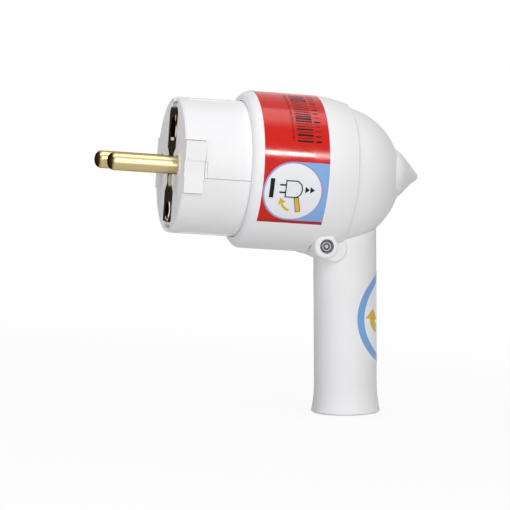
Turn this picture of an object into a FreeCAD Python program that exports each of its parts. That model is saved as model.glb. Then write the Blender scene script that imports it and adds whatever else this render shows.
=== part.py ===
"""Two-pole plug with an earth socket and an extraction lever.

Millimetres.  The origin is the centre of the plug's front face, +X runs
back along the plug's axis, +Z is up and the pins point along -X.
The handle hangs below the head and swings back about the pivot.
"""

import FreeCAD
import Part
import math
import os

V = FreeCAD.Vector
X_AXIS = V(1, 0, 0)
Y_AXIS = V(0, 1, 0)
Z_AXIS = V(0, 0, 1)
SIDES = (-1, 1)

# Clearances
RUN_GAP = 0.05          # shaft in a turning or sliding bore, radial
SEAT_GAP = 0.05         # faces that rest on each other
SLIP_GAP = 0.15         # between pieces that are put together and stay
PART_GAP = 0.3          # between pieces that move past each other

# Main length
HEAD_LENGTH = 64.0      # front face to the dome's rearmost point, without the beak

# Live pins
PIN_R = 2.4
PIN_LENGTH = 19.0
PIN_SPACING = 19.0
PIN_TIP = 1.6           # length of the rounded tip
PIN_ROOT_R = 2.65       # thicker part that the insert's face holds
PIN_ROOT_CONE = 0.2
PIN_COLLAR_R = 3.15
PIN_COLLAR = 0.35
PIN_FLANGE_R = 4.0
PIN_FLANGE = 1.2
PIN_BARREL_R = 3.2
PIN_BARREL = 10.6
CORE_HOLE_R = 1.6
CORE_HOLE_DEPTH = 7.0
CORE_SHIFT = 0.9        # earth core's hole, to the side of the block's middle
TERMINAL_SCREW_R = 1.5
TERMINAL_SCREW_BACK = 3.6   # screw axis ahead of the barrel's end
TERMINAL_HEAD_R = 2.4
TERMINAL_HEAD = 1.4

# Insert, the round part that enters the wall socket
INSERT_R = 18.4
INSERT_LENGTH = 24.0
INSERT_WALL = 2.0
FACE_WALL = 3.2
FACE_CHAMFER = 0.4
SPLIT_Z = -2.8          # height of the joint between the two halves
SEAM_WIDTH = 0.16
SEAM_DEPTH = 0.25
FLANGE_RISE = 1.1       # flange beyond the insert's wall
FLANGE_LENGTH = 1.95
FORK_THICKNESS = 1.5    # rib that locks the pins behind their flanges
FORK_TOP = 1.5
FORK_MARGIN = 0.6       # of the fork's fingers beyond the pins' flanges
SADDLE_LENGTH = 6.4
SADDLE_TOP = 5.4
PEG_R = 0.9
PEG_BOSS_R = 2.0
PEG_HEIGHT = 1.6
PEG_X = 19.0
PEG_SINK = 0.6          # of the peg's boss into the insert's wall
ROOT = 0.3              # how far an inner wall runs into the wall that carries it
GUIDE_TUBE_R = 3.9
GUIDE_TUBE_END = 17.0

# Flat guide pads on both flanks of the insert
PAD_HALF_HEIGHT = 6.9
PAD_UPPER_LENGTH = 5.4
PAD_LOWER_LENGTH = 5.2
PAD_DEPTH = 4.0
PAD_GROOVE = 0.16       # fine groove round each pad
PAD_GROOVE_DEPTH = 1.85
GUIDE_TOP = 1.75
GUIDE_BOTTOM = SPLIT_Z
GUIDE_DEPTH = 0.8
GUIDE_LENGTH = 6.1
SADDLE_MARGIN = 1.2     # of the inner wall round a side contact
SADDLE_WALL = 1.8

# Earth contacts
STRAP_THICKNESS = 0.8
STRAP_INSET = 0.5       # plate lies this far behind the front face
STRAP_PLATE_WIDTH = 9.5
STRAP_UPPER_FROM = 4.2
STRAP_LOWER_FROM = 5.9
STRAP_SHOULDER = 1.6    # from the plate's end to the side contact's face
STRAP_NECK_WIDTH = 5.3
STRAP_LEG_WIDTH = 7.4
STRAP_LEG_SINK = 1.4    # side contacts below the insert's surface
STRAP_LEG_LENGTH = 14.5
STRAP_BEND_R = 1.2
CONTACT_WINDOW = 4.1
DIMPLE_Z = -12.2        # round hollow pressed into the lower plate
DIMPLE_R = 2.5
DIMPLE_DEPTH = 0.45
MOUTH_END_WIDTH = 5.6   # opening in front of the plates, at its two ends
MOUTH_CORNER = 1.5      # height of its slanted corners
MOUTH_BEVEL = 0.65      # rise of the bevel at its ends
EARTH_Z = 10.0
EARTH_PIN_R = 2.4
EARTH_HOLE_R = 2.8
EARTH_SOCKET_WALL = 0.7
EARTH_SOCKET_LENGTH = 13.7
EARTH_SLIT = 0.6
EARTH_BLOCK = 6.0
EARTH_TUBE_WALL = 1.1   # insert's tube round the earth socket
EARTH_TUBE_SHORT = 4.0

# Head shell
SHELL_FRONT = 18.1
SHELL_ROOM = 0.2        # round the insert's flange
SHELL_WALL = 1.65
SHELL_WEB = 2.5         # thickness of the front web
SHELL_BORE_GAP = 0.2    # round the insert
SHELL_TAPER = 8.2       # length of the part that narrows to the rear
SHELL_OVERLAP = 2.35    # shell's rear edge behind the dome's centre
LIP_DEPTH = 0.45        # lip inside the shell's inner face
LIP_WALL = 0.75
LIP_LENGTH = 1.8
RING_WIDTH = 2.2
RING_GROOVE = 0.4
RING_OPENING = 5.0

# Pivot of the lever
PIVOT_AHEAD = 3.35      # pivot ahead of the dome's centre
PIVOT_INSET = 0.7       # pivot inside the shell's inner face
NOTCH_UP = 7.6          # top of the hub's notch, above the pivot
BOSS_R = 3.35
BOSS_LENGTH = 4.0
BOSS_ROUND = 0.85
BOSS_CLEAR = 0.4        # dome round the boss
HUB_HALF = 9.2          # half width of the handle's hub
HUB_R = 3.2
HUB_LOBE_R = 3.8
HUB_LOBE_BACK = 3.4
HUB_LOBE_DOWN = 0.6
HUB_ROUND = 0.7
SLEEVE_R = 2.0
SLEEVE_WALL = 0.45
SLEEVE_SEAT = 0.8       # depth of the sleeve's seat in each boss
PIVOT_HEAD_R = 1.8
PIVOT_HEAD = 0.9
PIVOT_NUT_R = 2.35
PIVOT_HEAD_RECESS = 1.3
DRIVE_R = 1.1
DRIVE_DEPTH = 0.6

# Rear dome
DOME_INSET = 0.55       # dome inside the shell's inner face
DOME_WALL = 1.6
DOME_LIP = 0.65         # dome's front edge ahead of its centre
BEAK_TIP = 5.7          # behind the dome's rearmost point
BEAK_TIP_ROUND = 0.5

# Handle
HANDLE_TILT = 4.6       # degrees off plumb
HANDLE_OFFSET = 8.96    # axis behind the pivot, at the pivot's height
HANDLE_R = 8.68
HANDLE_FLARE = 7.5
HANDLE_END_R = 9.55
HANDLE_LENGTH = 46.0    # from the pivot's height to the end
HANDLE_BORE_R = 7.0
HANDLE_EDGE = 0.4
HANDLE_TOP = 12.0       # end of the tube inside the dome, above the pivot
LEDGE_DOWN = 8.0        # ledge that the spigot's nut pulls on
SPIGOT_R = 5.7
SPIGOT_WALL = 0.9
SPIGOT_UP = 3.0
SPIGOT_NUT = 3.8
SPIGOT_NUT_GAP = 0.1

# Cable entry
CABLE_R = 4.5
BUSH_R = 7.35
BUSH_LENGTH = 8.0
BUSH_INSET = 1.0
BUSH_GROOVE = 2.0
BUSH_GROOVE_DEPTH = 0.8
CLAMP_AHEAD = 1.85      # clamp's front face ahead of the dome's centre
CLAMP_THICKNESS = 2.4
CLAMP_INSET = 8.65      # ends of the clamp inside the dome's outer face
CLAMP_HEIGHT = 5.0
CLAMP_SCREW_INSET = 2.7
CLAMP_SCREW_R = 1.45
CLAMP_SCREW_LENGTH = 9.0
CLAMP_HEAD_R = 2.6
CLAMP_HEAD = 1.8
CLAMP_PILLAR_R = 2.6
CLAMP_CABLE_R = 4.2
CLAMP_GRIP = 0.5        # depth of the clamp's hollow for the cable
CLAMP_EASE = 0.5        # saddle lower than the clamp bar at each edge

# Extraction gear
ROD_R = 1.8
ROD_TIP = 0.2           # behind the front face
NOSE_R = 3.0
NOSE_REACH = 3.3        # nose's centre ahead of the pivot
NOSE_GAP = 0.2
RIB_HALF = 0.8
RIB_BACK = 2.15         # rib's front edge behind the dome's centre
PLATE_R = 5.0
PLATE_THICKNESS = 1.4
CLIP_R = 3.2
CLIP_THICKNESS = 0.6
CLIP_BACK = 0.35        # rod left behind the clip
CLIP_GROOVE = 0.4
SPRING_WIRE_R = 0.35
SPRING_MEAN_R = 3.1
SPRING_TURNS = 6

# Printed skins
LABEL_SKIN = 0.08
LABEL_SHORT = 0.6           # label's rear edge ahead of the shell's taper
LABEL_LOW_ANGLE = -38.0     # below the horizontal, on the near flank
LABEL_FAR_ANGLE = 105.0     # past the top, on the far flank
DECAL_R = 13.0
DECAL_DOWN = 20.5           # below the pivot's height, along the handle

# Places worked out from the sizes above
PIN_Y = PIN_SPACING / 2
FLANGE_R = INSERT_R + FLANGE_RISE
PAD_Y = INSERT_R
STRAP_LEG_Z = INSERT_R - STRAP_LEG_SINK         # outer face of the side contacts
STRAP_PLATE_TO = STRAP_LEG_Z - STRAP_SHOULDER
FLANGE_END = FACE_WALL + PIN_FLANGE
BARREL_END = FLANGE_END + PIN_BARREL
FORK_FROM = FLANGE_END + SEAT_GAP
FORK_TO = FORK_FROM + FORK_THICKNESS
PLATE_X = STRAP_INSET + STRAP_THICKNESS
STRAP_LEG_END = STRAP_INSET + STRAP_LEG_LENGTH
EARTH_SOCKET_R = EARTH_PIN_R + RUN_GAP + EARTH_SOCKET_WALL
EARTH_SOCKET_END = PLATE_X + EARTH_SOCKET_LENGTH
INSERT_BORE_R = INSERT_R - INSERT_WALL
SHELL_INNER_R = FLANGE_R + SHELL_ROOM
SHELL_R = SHELL_INNER_R + SHELL_WALL
LIP_INNER_R = SHELL_INNER_R - LIP_DEPTH
SHELL_REAR_R = LIP_INNER_R + LIP_WALL
WEB_REAR = SHELL_FRONT + SHELL_WEB
INSERT_FLANGE_FROM = WEB_REAR + SEAT_GAP
INSERT_FLANGE_TO = INSERT_FLANGE_FROM + FLANGE_LENGTH
DOME_R = SHELL_INNER_R - DOME_INSET
DOME_X = HEAD_LENGTH - DOME_R
DOME_FRONT = DOME_X - DOME_LIP
SHELL_REAR = DOME_X + SHELL_OVERLAP
SHELL_TAPER_FROM = SHELL_REAR - SHELL_TAPER
PIVOT_X = DOME_X - PIVOT_AHEAD
PIVOT_Z = PIVOT_INSET - SHELL_INNER_R
CLAMP_X = DOME_X - CLAMP_AHEAD
NOSE_X = PIVOT_X - NOSE_REACH
RIB_FROM = DOME_X + RIB_BACK
LABEL_FROM_X = WEB_REAR
LABEL_TO_X = SHELL_TAPER_FROM - LABEL_SHORT
CLAMP_HALF = DOME_R - CLAMP_INSET
CLAMP_MID_Z = -CLAMP_HALF
CLAMP_TOP = CLAMP_MID_Z + CLAMP_HEIGHT / 2
CLAMP_BOTTOM = CLAMP_MID_Z - CLAMP_HEIGHT / 2
CLAMP_SCREW_Y = CLAMP_HALF - CLAMP_SCREW_INSET
NOTCH_HALF = HUB_HALF + PART_GAP
BOSS_FACE_Y = NOTCH_HALF + BOSS_LENGTH
BOSS_RECESS_Y = BOSS_FACE_Y - PIVOT_HEAD_RECESS
CLIP_TO = NOSE_X - NOSE_R - NOSE_GAP - CLIP_BACK
ROD_END = CLIP_TO + CLIP_BACK
PLATE_TO = CLIP_TO - CLIP_THICKNESS - SEAT_GAP
PLATE_FROM = PLATE_TO - PLATE_THICKNESS
BUSH_LOW = HANDLE_LENGTH - BUSH_INSET
FAR = 60.0                  # longer than anything that has to be cut

# Beak sections: behind the head's length, height of the middle,
# half height, half width
BEAK_SECTIONS = (
    (-6.15, 0.8, 9.0, 12.3),
    (-3.65, 0.95, 8.4, 11.6),
    (-1.35, 1.25, 7.1, 10.2),
    (0.65, 1.35, 5.45, 7.7),
    (2.55, 1.4, 3.6, 5.0),
    (4.35, 1.3, 1.9, 2.7),
)
BEAK_END = (1.1, 0.8, 1.1)


def cyl_x(radius, x_from, x_to, y=0.0, z=0.0):
    return Part.makeCylinder(radius, x_to - x_from, V(x_from, y, z), X_AXIS)


def cyl_y(radius, y_from, y_to, x=PIVOT_X, z=PIVOT_Z):
    return Part.makeCylinder(radius, y_to - y_from, V(x, y_from, z), Y_AXIS)


def tube_x(outer, inner, x_from, x_to, y=0.0, z=0.0):
    return cyl_x(outer, x_from, x_to, y, z).cut(cyl_x(inner, x_from - 1, x_to + 1, y, z))


def box(x, y, z):
    """Box from three pairs of limits, each given in either order."""
    x, y, z = sorted(x), sorted(y), sorted(z)
    return Part.makeBox(x[1] - x[0], y[1] - y[0], z[1] - z[0], V(x[0], y[0], z[0]))


def box_mid_y(half_width, x, z):
    """Box centred on the plane Y = 0."""
    return box(x, (-half_width, half_width), z)


def fuse(shapes):
    return shapes[0].fuse(list(shapes[1:])).removeSplitter()


def outline(start, *steps):
    """Closed face in the XZ plane.

    A step with one point is a straight line to it, and a step with two is
    an arc through the first to the second.
    """
    here = start
    edges = []
    for step in steps:
        there = step[-1]
        ends = V(here[0], 0, here[1]), V(there[0], 0, there[1])
        if len(step) == 1:
            edges.append(Part.makeLine(*ends))
        else:
            middle = V(step[0][0], 0, step[0][1])
            edges.append(Part.Arc(ends[0], middle, ends[1]).toShape())
        here = there
    if math.dist(here, start) > 1e-6:
        edges.append(Part.makeLine(V(here[0], 0, here[1]), V(start[0], 0, start[1])))
    return Part.Face(Part.Wire(edges))


def hull(centre_a, r_a, centre_b, r_b):
    """Face in the XZ plane round two circles and the lines that touch both."""
    dx = centre_b[0] - centre_a[0]
    dz = centre_b[1] - centre_a[1]
    along = math.atan2(dz, dx)
    spread = math.acos((r_a - r_b) / math.hypot(dx, dz))

    def on(centre, radius, angle):
        return (centre[0] + radius * math.cos(angle), centre[1] + radius * math.sin(angle))

    return outline(
        on(centre_a, r_a, along + spread),
        [on(centre_a, r_a, along + math.pi), on(centre_a, r_a, along - spread)],
        [on(centre_b, r_b, along - spread)],
        [on(centre_b, r_b, along), on(centre_b, r_b, along + spread)],
    )


def turned_x(face):
    """Body of revolution about the plug's axis."""
    return face.revolve(V(0, 0, 0), X_AXIS, 360)


def plate_y(face, y_from, y_to):
    """Flat profile in the XZ plane, given a thickness along Y."""
    plate = face.copy()
    plate.translate(V(0, y_from, 0))
    return plate.extrude(V(0, y_to - y_from, 0))


def mirrored_y(shape):
    return shape.mirror(V(0, 0, 0), Y_AXIS)


def ends_at_y(shape, y):
    """Edges that lie wholly in a plane across Y."""
    found = []
    for edge in shape.Edges:
        limits = edge.BoundBox
        if abs(limits.YMin - y) < 1e-5 and abs(limits.YMax - y) < 1e-5:
            found.append(edge)
    return found


def ends_at_x(shape, x):
    """Edges that lie wholly in a plane across X."""
    found = []
    for edge in shape.Edges:
        limits = edge.BoundBox
        if abs(limits.XMin - x) < 1e-5 and abs(limits.XMax - x) < 1e-5:
            found.append(edge)
    return found


def on_handle(shape):
    """Move a shape from the handle's own frame, which hangs along -Z."""
    placed = shape.copy()
    placed.rotate(V(0, 0, 0), Y_AXIS, -HANDLE_TILT)
    placed.translate(V(PIVOT_X + HANDLE_OFFSET, 0, PIVOT_Z))
    return placed


def stalk(radius, down_from, down_to):
    """Cylinder on the handle's axis, in the handle's own frame."""
    return Part.makeCylinder(radius, down_to - down_from, V(0, 0, -down_to))


def slotted_screw(shank_r, head_r, head, length, slot=0.5):
    """Screw along +X: the head lies at negative X, the shank at positive X."""
    body = fuse([cyl_x(head_r, -head, 0), cyl_x(shank_r, 0, length)])
    body = body.makeChamfer(head * 0.3, ends_at_x(body, -head))
    return body.cut(box_mid_y(head_r + 1, (-head - 1, -head * 0.5), (-slot / 2, slot / 2)))


def placed_screw(screw, head_seat, direction):
    """Put a screw with its head's seat at a point and its shank along direction."""
    turned = screw.copy()
    turned.Placement = FreeCAD.Placement(V(*head_seat), FreeCAD.Rotation(X_AXIS, direction))
    return turned


def dome_ball(radius):
    return Part.makeSphere(radius, V(DOME_X, 0, 0), X_AXIS)


# Insert

def strap_plan(grow):
    """Outline of the earth strap seen from the front."""
    half = STRAP_PLATE_WIDTH / 2 + grow
    neck = STRAP_NECK_WIDTH / 2 + grow
    leg = STRAP_LEG_WIDTH / 2 + grow
    plate_end = STRAP_PLATE_TO + grow
    leg_end = STRAP_LEG_Z + grow
    low = STRAP_LOWER_FROM - grow
    high = STRAP_UPPER_FROM - grow
    corner = half - leg
    step = half - neck
    right = [
        (leg, -leg_end),
        (leg, -plate_end),
        (half, -plate_end + corner),
        (half, -low - step),
        (neck, -low),
        (neck, high),
        (half, high + step),
        (half, plate_end - corner),
        (leg, plate_end),
        (leg, leg_end),
    ]
    left = [(-y, z) for y, z in reversed(right)]
    points = [V(0, y, z) for y, z in right + left]
    return Part.Face(Part.makePolygon(points + points[:1]))


def strap_mouth():
    """Opening in front of the plates, with slanted corners and bevelled ends."""
    half = STRAP_PLATE_WIDTH / 2 + SLIP_GAP
    end = MOUTH_END_WIDTH / 2
    low = STRAP_PLATE_TO + SLIP_GAP
    corners = [(end, low), (half, low - MOUTH_CORNER), (half, MOUTH_CORNER - low), (end, -low)]
    corners += [(-y, z) for y, z in reversed(corners)]
    points = [V(0, y, z) for y, z in corners]
    mouth = Part.Face(Part.makePolygon(points + points[:1])).extrude(V(PLATE_X + 1, 0, 0))
    plan = strap_plan(SLIP_GAP).extrude(V(PLATE_X + 1, 0, 0))
    mouth = mouth.common(plan)
    mouth.translate(V(-1, 0, 0))
    floor = STRAP_INSET - SEAT_GAP
    bevel = plate_y(outline((floor, low), [(-floor, low + 2 * MOUTH_BEVEL)], [(-floor, low)]), -end, end)
    return fuse([mouth, bevel, bevel.mirror(V(0, 0, 0), Z_AXIS)])


def strap_pocket():
    """Room for the strap: the mouth in front, the side channels and their windows."""
    bed = strap_plan(SLIP_GAP)
    bed.translate(V(STRAP_INSET - SEAT_GAP, 0, 0))
    parts = [bed.extrude(V(STRAP_THICKNESS + SEAT_GAP, 0, 0)), strap_mouth()]
    outer = STRAP_LEG_Z + SEAT_GAP
    inner = STRAP_LEG_Z - STRAP_THICKNESS - SEAT_GAP
    for side in SIDES:
        channel = box_mid_y(STRAP_LEG_WIDTH / 2 + SLIP_GAP, (0, STRAP_LEG_END + SLIP_GAP),
                            (side * inner, side * outer))
        window = box_mid_y(CONTACT_WINDOW / 2, (-1, STRAP_LEG_END - 1), (side * STRAP_LEG_Z, side * FAR))
        parts += [channel, window]
    return fuse(parts)


def insert_skin():
    """Turned wall, face and flange of the insert, with its guide pads."""
    wall = turned_x(outline(
        (0, 0),
        [(0, INSERT_R - FACE_CHAMFER)],
        [(FACE_CHAMFER, INSERT_R)],
        [(INSERT_FLANGE_FROM, INSERT_R)],
        [(INSERT_FLANGE_FROM, FLANGE_R)],
        [(INSERT_FLANGE_TO, FLANGE_R)],
        [(INSERT_FLANGE_TO, INSERT_R)],
        [(INSERT_LENGTH, INSERT_R)],
        [(INSERT_LENGTH, INSERT_BORE_R)],
        [(FACE_WALL, INSERT_BORE_R)],
        [(FACE_WALL, 0)],
    ))
    pads = []
    for side in SIDES:
        flank = (side * (PAD_Y - PAD_DEPTH), side * PAD_Y)
        pads.append(box((0, PAD_UPPER_LENGTH), flank, (SPLIT_Z, PAD_HALF_HEIGHT)))
        pads.append(box((0, PAD_LOWER_LENGTH), flank, (-PAD_HALF_HEIGHT, SPLIT_Z)))
        rib = (side * (STRAP_LEG_Z - STRAP_THICKNESS - SADDLE_WALL), side * (INSERT_R - ROOT - SLIP_GAP))
        pads.append(box_mid_y(STRAP_LEG_WIDTH / 2 + SADDLE_MARGIN,
                              (FACE_WALL - ROOT, STRAP_LEG_END + SADDLE_MARGIN), rib))
    return fuse([wall] + pads)


def pin_bore(side):
    return cyl_x(PIN_ROOT_R + SEAT_GAP, -2, FACE_WALL + 1, side * PIN_Y)


def pad_grooves(side):
    """Fine groove round the upper and the lower part of a guide pad."""
    sunk = (side * (PAD_Y - PAD_GROOVE_DEPTH), side * FAR)
    grooves = []
    for length, top in ((PAD_UPPER_LENGTH, PAD_HALF_HEIGHT), (PAD_LOWER_LENGTH, -PAD_HALF_HEIGHT)):
        past = top + math.copysign(PAD_GROOVE, top)
        grooves.append(box((-1, length + PAD_GROOVE), sunk, (top, past)))
        grooves.append(box((length, length + PAD_GROOVE), sunk, (SPLIT_Z, past)))
    return grooves


def insert_cuts():
    """Everything that is taken out of both halves alike."""
    cuts = [strap_pocket(), cyl_x(ROD_R + RUN_GAP, -1, FAR)]
    for side in SIDES:
        cuts.append(pin_bore(side))
        flank = (side * (PAD_Y - GUIDE_DEPTH), side * FAR)
        cuts.append(box((-1, GUIDE_LENGTH), flank, (GUIDE_BOTTOM, GUIDE_TOP)))
        cuts += pad_grooves(side)
    cuts.append(cyl_x(EARTH_SOCKET_R + SEAT_GAP, PLATE_X - 0.2, FAR, 0, EARTH_Z))
    seam = tube_x(INSERT_R + 2, INSERT_R - SEAM_DEPTH, -1, SHELL_FRONT)
    seam_band = (SPLIT_Z - SEAM_WIDTH / 2, SPLIT_Z + SEAM_WIDTH / 2)
    cuts.append(seam.common(box_mid_y(FAR, (-2, SHELL_FRONT), seam_band)))
    return cuts


def peg_boss(side, z_from, z_to):
    """Boss on the insert's wall for a locating peg."""
    y = side * (INSERT_BORE_R - PEG_BOSS_R + PEG_SINK)
    return Part.makeCylinder(PEG_BOSS_R, z_to - z_from, V(PEG_X, y, z_from))


def peg(side, radius, height):
    y = side * (INSERT_BORE_R - PEG_BOSS_R + PEG_SINK)
    return Part.makeCylinder(radius, ROOT + height, V(PEG_X, y, SPLIT_Z - ROOT))


def make_insert_upper():
    """Upper half, with the guide tube, the pin saddles and the collars round the pins."""
    body = insert_skin()
    for cut in insert_cuts():
        body = body.cut(cut)
    body = body.common(box_mid_y(FAR, (-FAR, FAR), (SPLIT_Z, FAR)))
    start = FACE_WALL - ROOT
    parts = [cyl_x(GUIDE_TUBE_R, start, GUIDE_TUBE_END)]
    earth_tube_r = EARTH_SOCKET_R + SEAT_GAP + EARTH_TUBE_WALL
    parts.append(cyl_x(earth_tube_r, start, EARTH_SOCKET_END - EARTH_TUBE_SHORT, 0, EARTH_Z))
    for side in SIDES:
        y = side * PIN_Y
        saddle_y = (y - PIN_FLANGE_R - PART_GAP, y + PIN_FLANGE_R + PART_GAP)
        saddle = box((start, FACE_WALL + SADDLE_LENGTH), saddle_y, (FORK_TOP + SLIP_GAP, SADDLE_TOP))
        saddle = saddle.cut(cyl_x(PIN_FLANGE_R + SEAT_GAP, start - 1, FORK_TO, y))
        parts.append(saddle.cut(cyl_x(PIN_BARREL_R + SEAT_GAP, FORK_FROM, FAR, y)))
        collar = cyl_x(PIN_COLLAR_R, -PIN_COLLAR, 0, y)
        parts.append(collar.common(box_mid_y(FAR, (-1, 1), (SPLIT_Z, FAR))))
        parts.append(peg_boss(side, SPLIT_Z, SPLIT_Z + PEG_HEIGHT + 1.2))
    body = fuse([body] + parts)
    body = body.cut(cyl_x(ROD_R + RUN_GAP, -1, FAR))
    body = body.cut(cyl_x(EARTH_SOCKET_R + SEAT_GAP, PLATE_X - 0.2, FAR, 0, EARTH_Z))
    for side in SIDES:
        body = body.cut(pin_bore(side))
        body = body.cut(peg(side, PEG_R + RUN_GAP, PEG_HEIGHT + 0.2))
    return body


def make_insert_lower():
    """Lower half, with the fork that locks the pins and the locating pegs."""
    body = insert_skin()
    for cut in insert_cuts():
        body = body.cut(cut)
    body = body.common(box_mid_y(FAR, (-FAR, FAR), (-FAR, SPLIT_Z)))
    rib = cyl_x(INSERT_BORE_R + ROOT, FORK_FROM, FORK_TO)
    parts = [rib.common(box_mid_y(FAR, (0, FAR), (-FAR, SPLIT_Z))).cut(strap_pocket())]
    for side in SIDES:
        y = side * PIN_Y
        fingers = (y - PIN_FLANGE_R - FORK_MARGIN, y + PIN_FLANGE_R + FORK_MARGIN)
        parts.append(box((FORK_FROM, FORK_TO), fingers, (SPLIT_Z - 1, FORK_TOP)))
        parts.append(peg_boss(side, SPLIT_Z - 4, SPLIT_Z))
        parts.append(peg(side, PEG_R, PEG_HEIGHT))
    body = fuse([body] + parts)
    slot = PIN_BARREL_R + SEAT_GAP
    for side in SIDES:
        y = side * PIN_Y
        body = body.cut(cyl_x(slot, FORK_FROM - 0.02, FORK_TO + 1, y))
        body = body.cut(box((FORK_FROM - 1, FORK_TO + 1), (y - slot, y + slot), (0, FAR)))
    return body.cut(cyl_x(GUIDE_TUBE_R + SLIP_GAP, FACE_WALL - ROOT - SLIP_GAP, FAR))


def make_pin(side):
    """Solid pin with a rounded tip, a flange and a drilled terminal barrel."""
    profile = outline(
        (-PIN_LENGTH, 0),
        [(-PIN_LENGTH + PIN_TIP * 0.28, PIN_R * 0.72), (-PIN_LENGTH + PIN_TIP, PIN_R)],
        [(-PIN_COLLAR - PIN_ROOT_CONE, PIN_R)],
        [(-PIN_COLLAR, PIN_ROOT_R)],
        [(FACE_WALL, PIN_ROOT_R)],
        [(FACE_WALL, PIN_FLANGE_R)],
        [(FLANGE_END, PIN_FLANGE_R)],
        [(FLANGE_END, PIN_BARREL_R)],
        [(BARREL_END, PIN_BARREL_R)],
        [(BARREL_END, 0)],
    )
    y = side * PIN_Y
    pin = turned_x(profile)
    pin.translate(V(0, y, 0))
    pin = pin.cut(cyl_x(CORE_HOLE_R, BARREL_END - CORE_HOLE_DEPTH, BARREL_END + 1, y))
    thread_from = V(BARREL_END - TERMINAL_SCREW_BACK, y, -PIN_BARREL_R - 1)
    return pin.cut(Part.makeCylinder(TERMINAL_SCREW_R, PIN_BARREL_R + 1, thread_from, Z_AXIS))


def make_terminal_screw(side):
    length = PIN_BARREL_R + SLIP_GAP - CORE_HOLE_R * 0.4
    screw = slotted_screw(TERMINAL_SCREW_R - RUN_GAP, TERMINAL_HEAD_R, TERMINAL_HEAD, length)
    seat = (BARREL_END - TERMINAL_SCREW_BACK, side * PIN_Y, -PIN_BARREL_R - SLIP_GAP)
    return placed_screw(screw, seat, Z_AXIS)


def make_earth_strap():
    """One bent sheet: two plates joined by a neck, and two side contacts."""
    plan = strap_plan(0)
    plan.translate(V(STRAP_INSET, 0, 0))
    parts = [plan.extrude(V(STRAP_THICKNESS, 0, 0))]
    for side in SIDES:
        leg_z = (side * (STRAP_LEG_Z - STRAP_THICKNESS), side * STRAP_LEG_Z)
        parts.append(box_mid_y(STRAP_LEG_WIDTH / 2, (STRAP_INSET, STRAP_LEG_END), leg_z))
    strap = fuse(parts)
    bends = []
    for edge in ends_at_x(strap, STRAP_INSET):
        middle = edge.BoundBox.Center
        if abs(abs(middle.z) - STRAP_LEG_Z) < 1e-3:
            bends.append(edge)
    strap = strap.makeFillet(STRAP_BEND_R, bends)
    ball_r = (DIMPLE_R ** 2 + DIMPLE_DEPTH ** 2) / (2 * DIMPLE_DEPTH)
    ball = Part.makeSphere(ball_r, V(STRAP_INSET + DIMPLE_DEPTH - ball_r, 0, DIMPLE_Z), X_AXIS)
    strap = strap.cut(ball)
    strap = strap.cut(cyl_x(ROD_R + PART_GAP, -1, FACE_WALL))
    return strap.cut(cyl_x(EARTH_HOLE_R, -1, FACE_WALL, 0, EARTH_Z))


def make_earth_socket():
    """Slit sleeve that grips the wall socket's earth pin."""
    sleeve = tube_x(EARTH_SOCKET_R, EARTH_PIN_R + RUN_GAP, PLATE_X, EARTH_SOCKET_END, 0, EARTH_Z)
    slit_from = PLATE_X + EARTH_SOCKET_LENGTH * 0.3
    return sleeve.cut(box_mid_y(EARTH_SLIT / 2, (slit_from, FAR), (EARTH_Z - FAR, EARTH_Z + FAR)))


def make_earth_terminal():
    """Brass block on the end of the earth socket, with a hole for the core."""
    start = EARTH_SOCKET_END
    half = EARTH_BLOCK / 2
    block = box_mid_y(half, (start, start + EARTH_BLOCK), (EARTH_Z - half, EARTH_Z + half))
    long_edges = [edge for edge in block.Edges if edge.BoundBox.XLength > half]
    block = block.makeFillet(0.6, long_edges)
    block = block.cut(cyl_x(CORE_HOLE_R, start + 1, FAR, CORE_SHIFT, EARTH_Z))
    return block.cut(cyl_y(TERMINAL_SCREW_R, -FAR, CORE_SHIFT, start + half, EARTH_Z))


def make_earth_terminal_screw():
    half = EARTH_BLOCK / 2
    screw = slotted_screw(TERMINAL_SCREW_R - RUN_GAP, TERMINAL_HEAD_R, TERMINAL_HEAD, half)
    seat = (EARTH_SOCKET_END + half, -half - SLIP_GAP, EARTH_Z)
    return placed_screw(screw, seat, Y_AXIS)


# Head shell

def shell_wall():
    """Turned wall of the head, with the front web and the thin rear lip."""
    groove_from = INSERT_FLANGE_TO
    groove_to = groove_from + RING_WIDTH + 2 * SEAT_GAP
    groove_r = SHELL_INNER_R + RING_GROOVE
    bore_r = INSERT_R + SHELL_BORE_GAP
    front_r = SHELL_R - SHELL_WEB
    round_mid = SHELL_WEB * (1 - math.sqrt(0.5))
    taper = SHELL_REAR - SHELL_TAPER_FROM
    drop = SHELL_R - SHELL_REAR_R
    edge = 0.25
    return turned_x(outline(
        (SHELL_FRONT, bore_r),
        [(SHELL_FRONT, front_r)],
        [(SHELL_FRONT + round_mid, SHELL_R - round_mid), (WEB_REAR, SHELL_R)],
        [(SHELL_TAPER_FROM, SHELL_R)],
        [(SHELL_TAPER_FROM + taper * 0.52, SHELL_R - drop * 0.36), (SHELL_REAR - edge, SHELL_REAR_R)],
        [(SHELL_REAR, SHELL_REAR_R - edge)],
        [(SHELL_REAR, LIP_INNER_R)],
        [(SHELL_REAR - LIP_LENGTH, (LIP_INNER_R + SHELL_INNER_R) / 2)],
        [(PIVOT_X, SHELL_INNER_R)],
        [(groove_to, SHELL_INNER_R)],
        [(groove_to, groove_r)],
        [(groove_from, groove_r)],
        [(groove_from, SHELL_INNER_R)],
        [(WEB_REAR, SHELL_INNER_R)],
        [(WEB_REAR, bore_r)],
    ))


def pivot_boss():
    """Near pivot boss, rounded at its rim."""
    boss = cyl_y(BOSS_R, -BOSS_FACE_Y, -NOTCH_HALF)
    return boss.makeFillet(BOSS_ROUND, ends_at_y(boss, -BOSS_FACE_Y))


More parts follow.
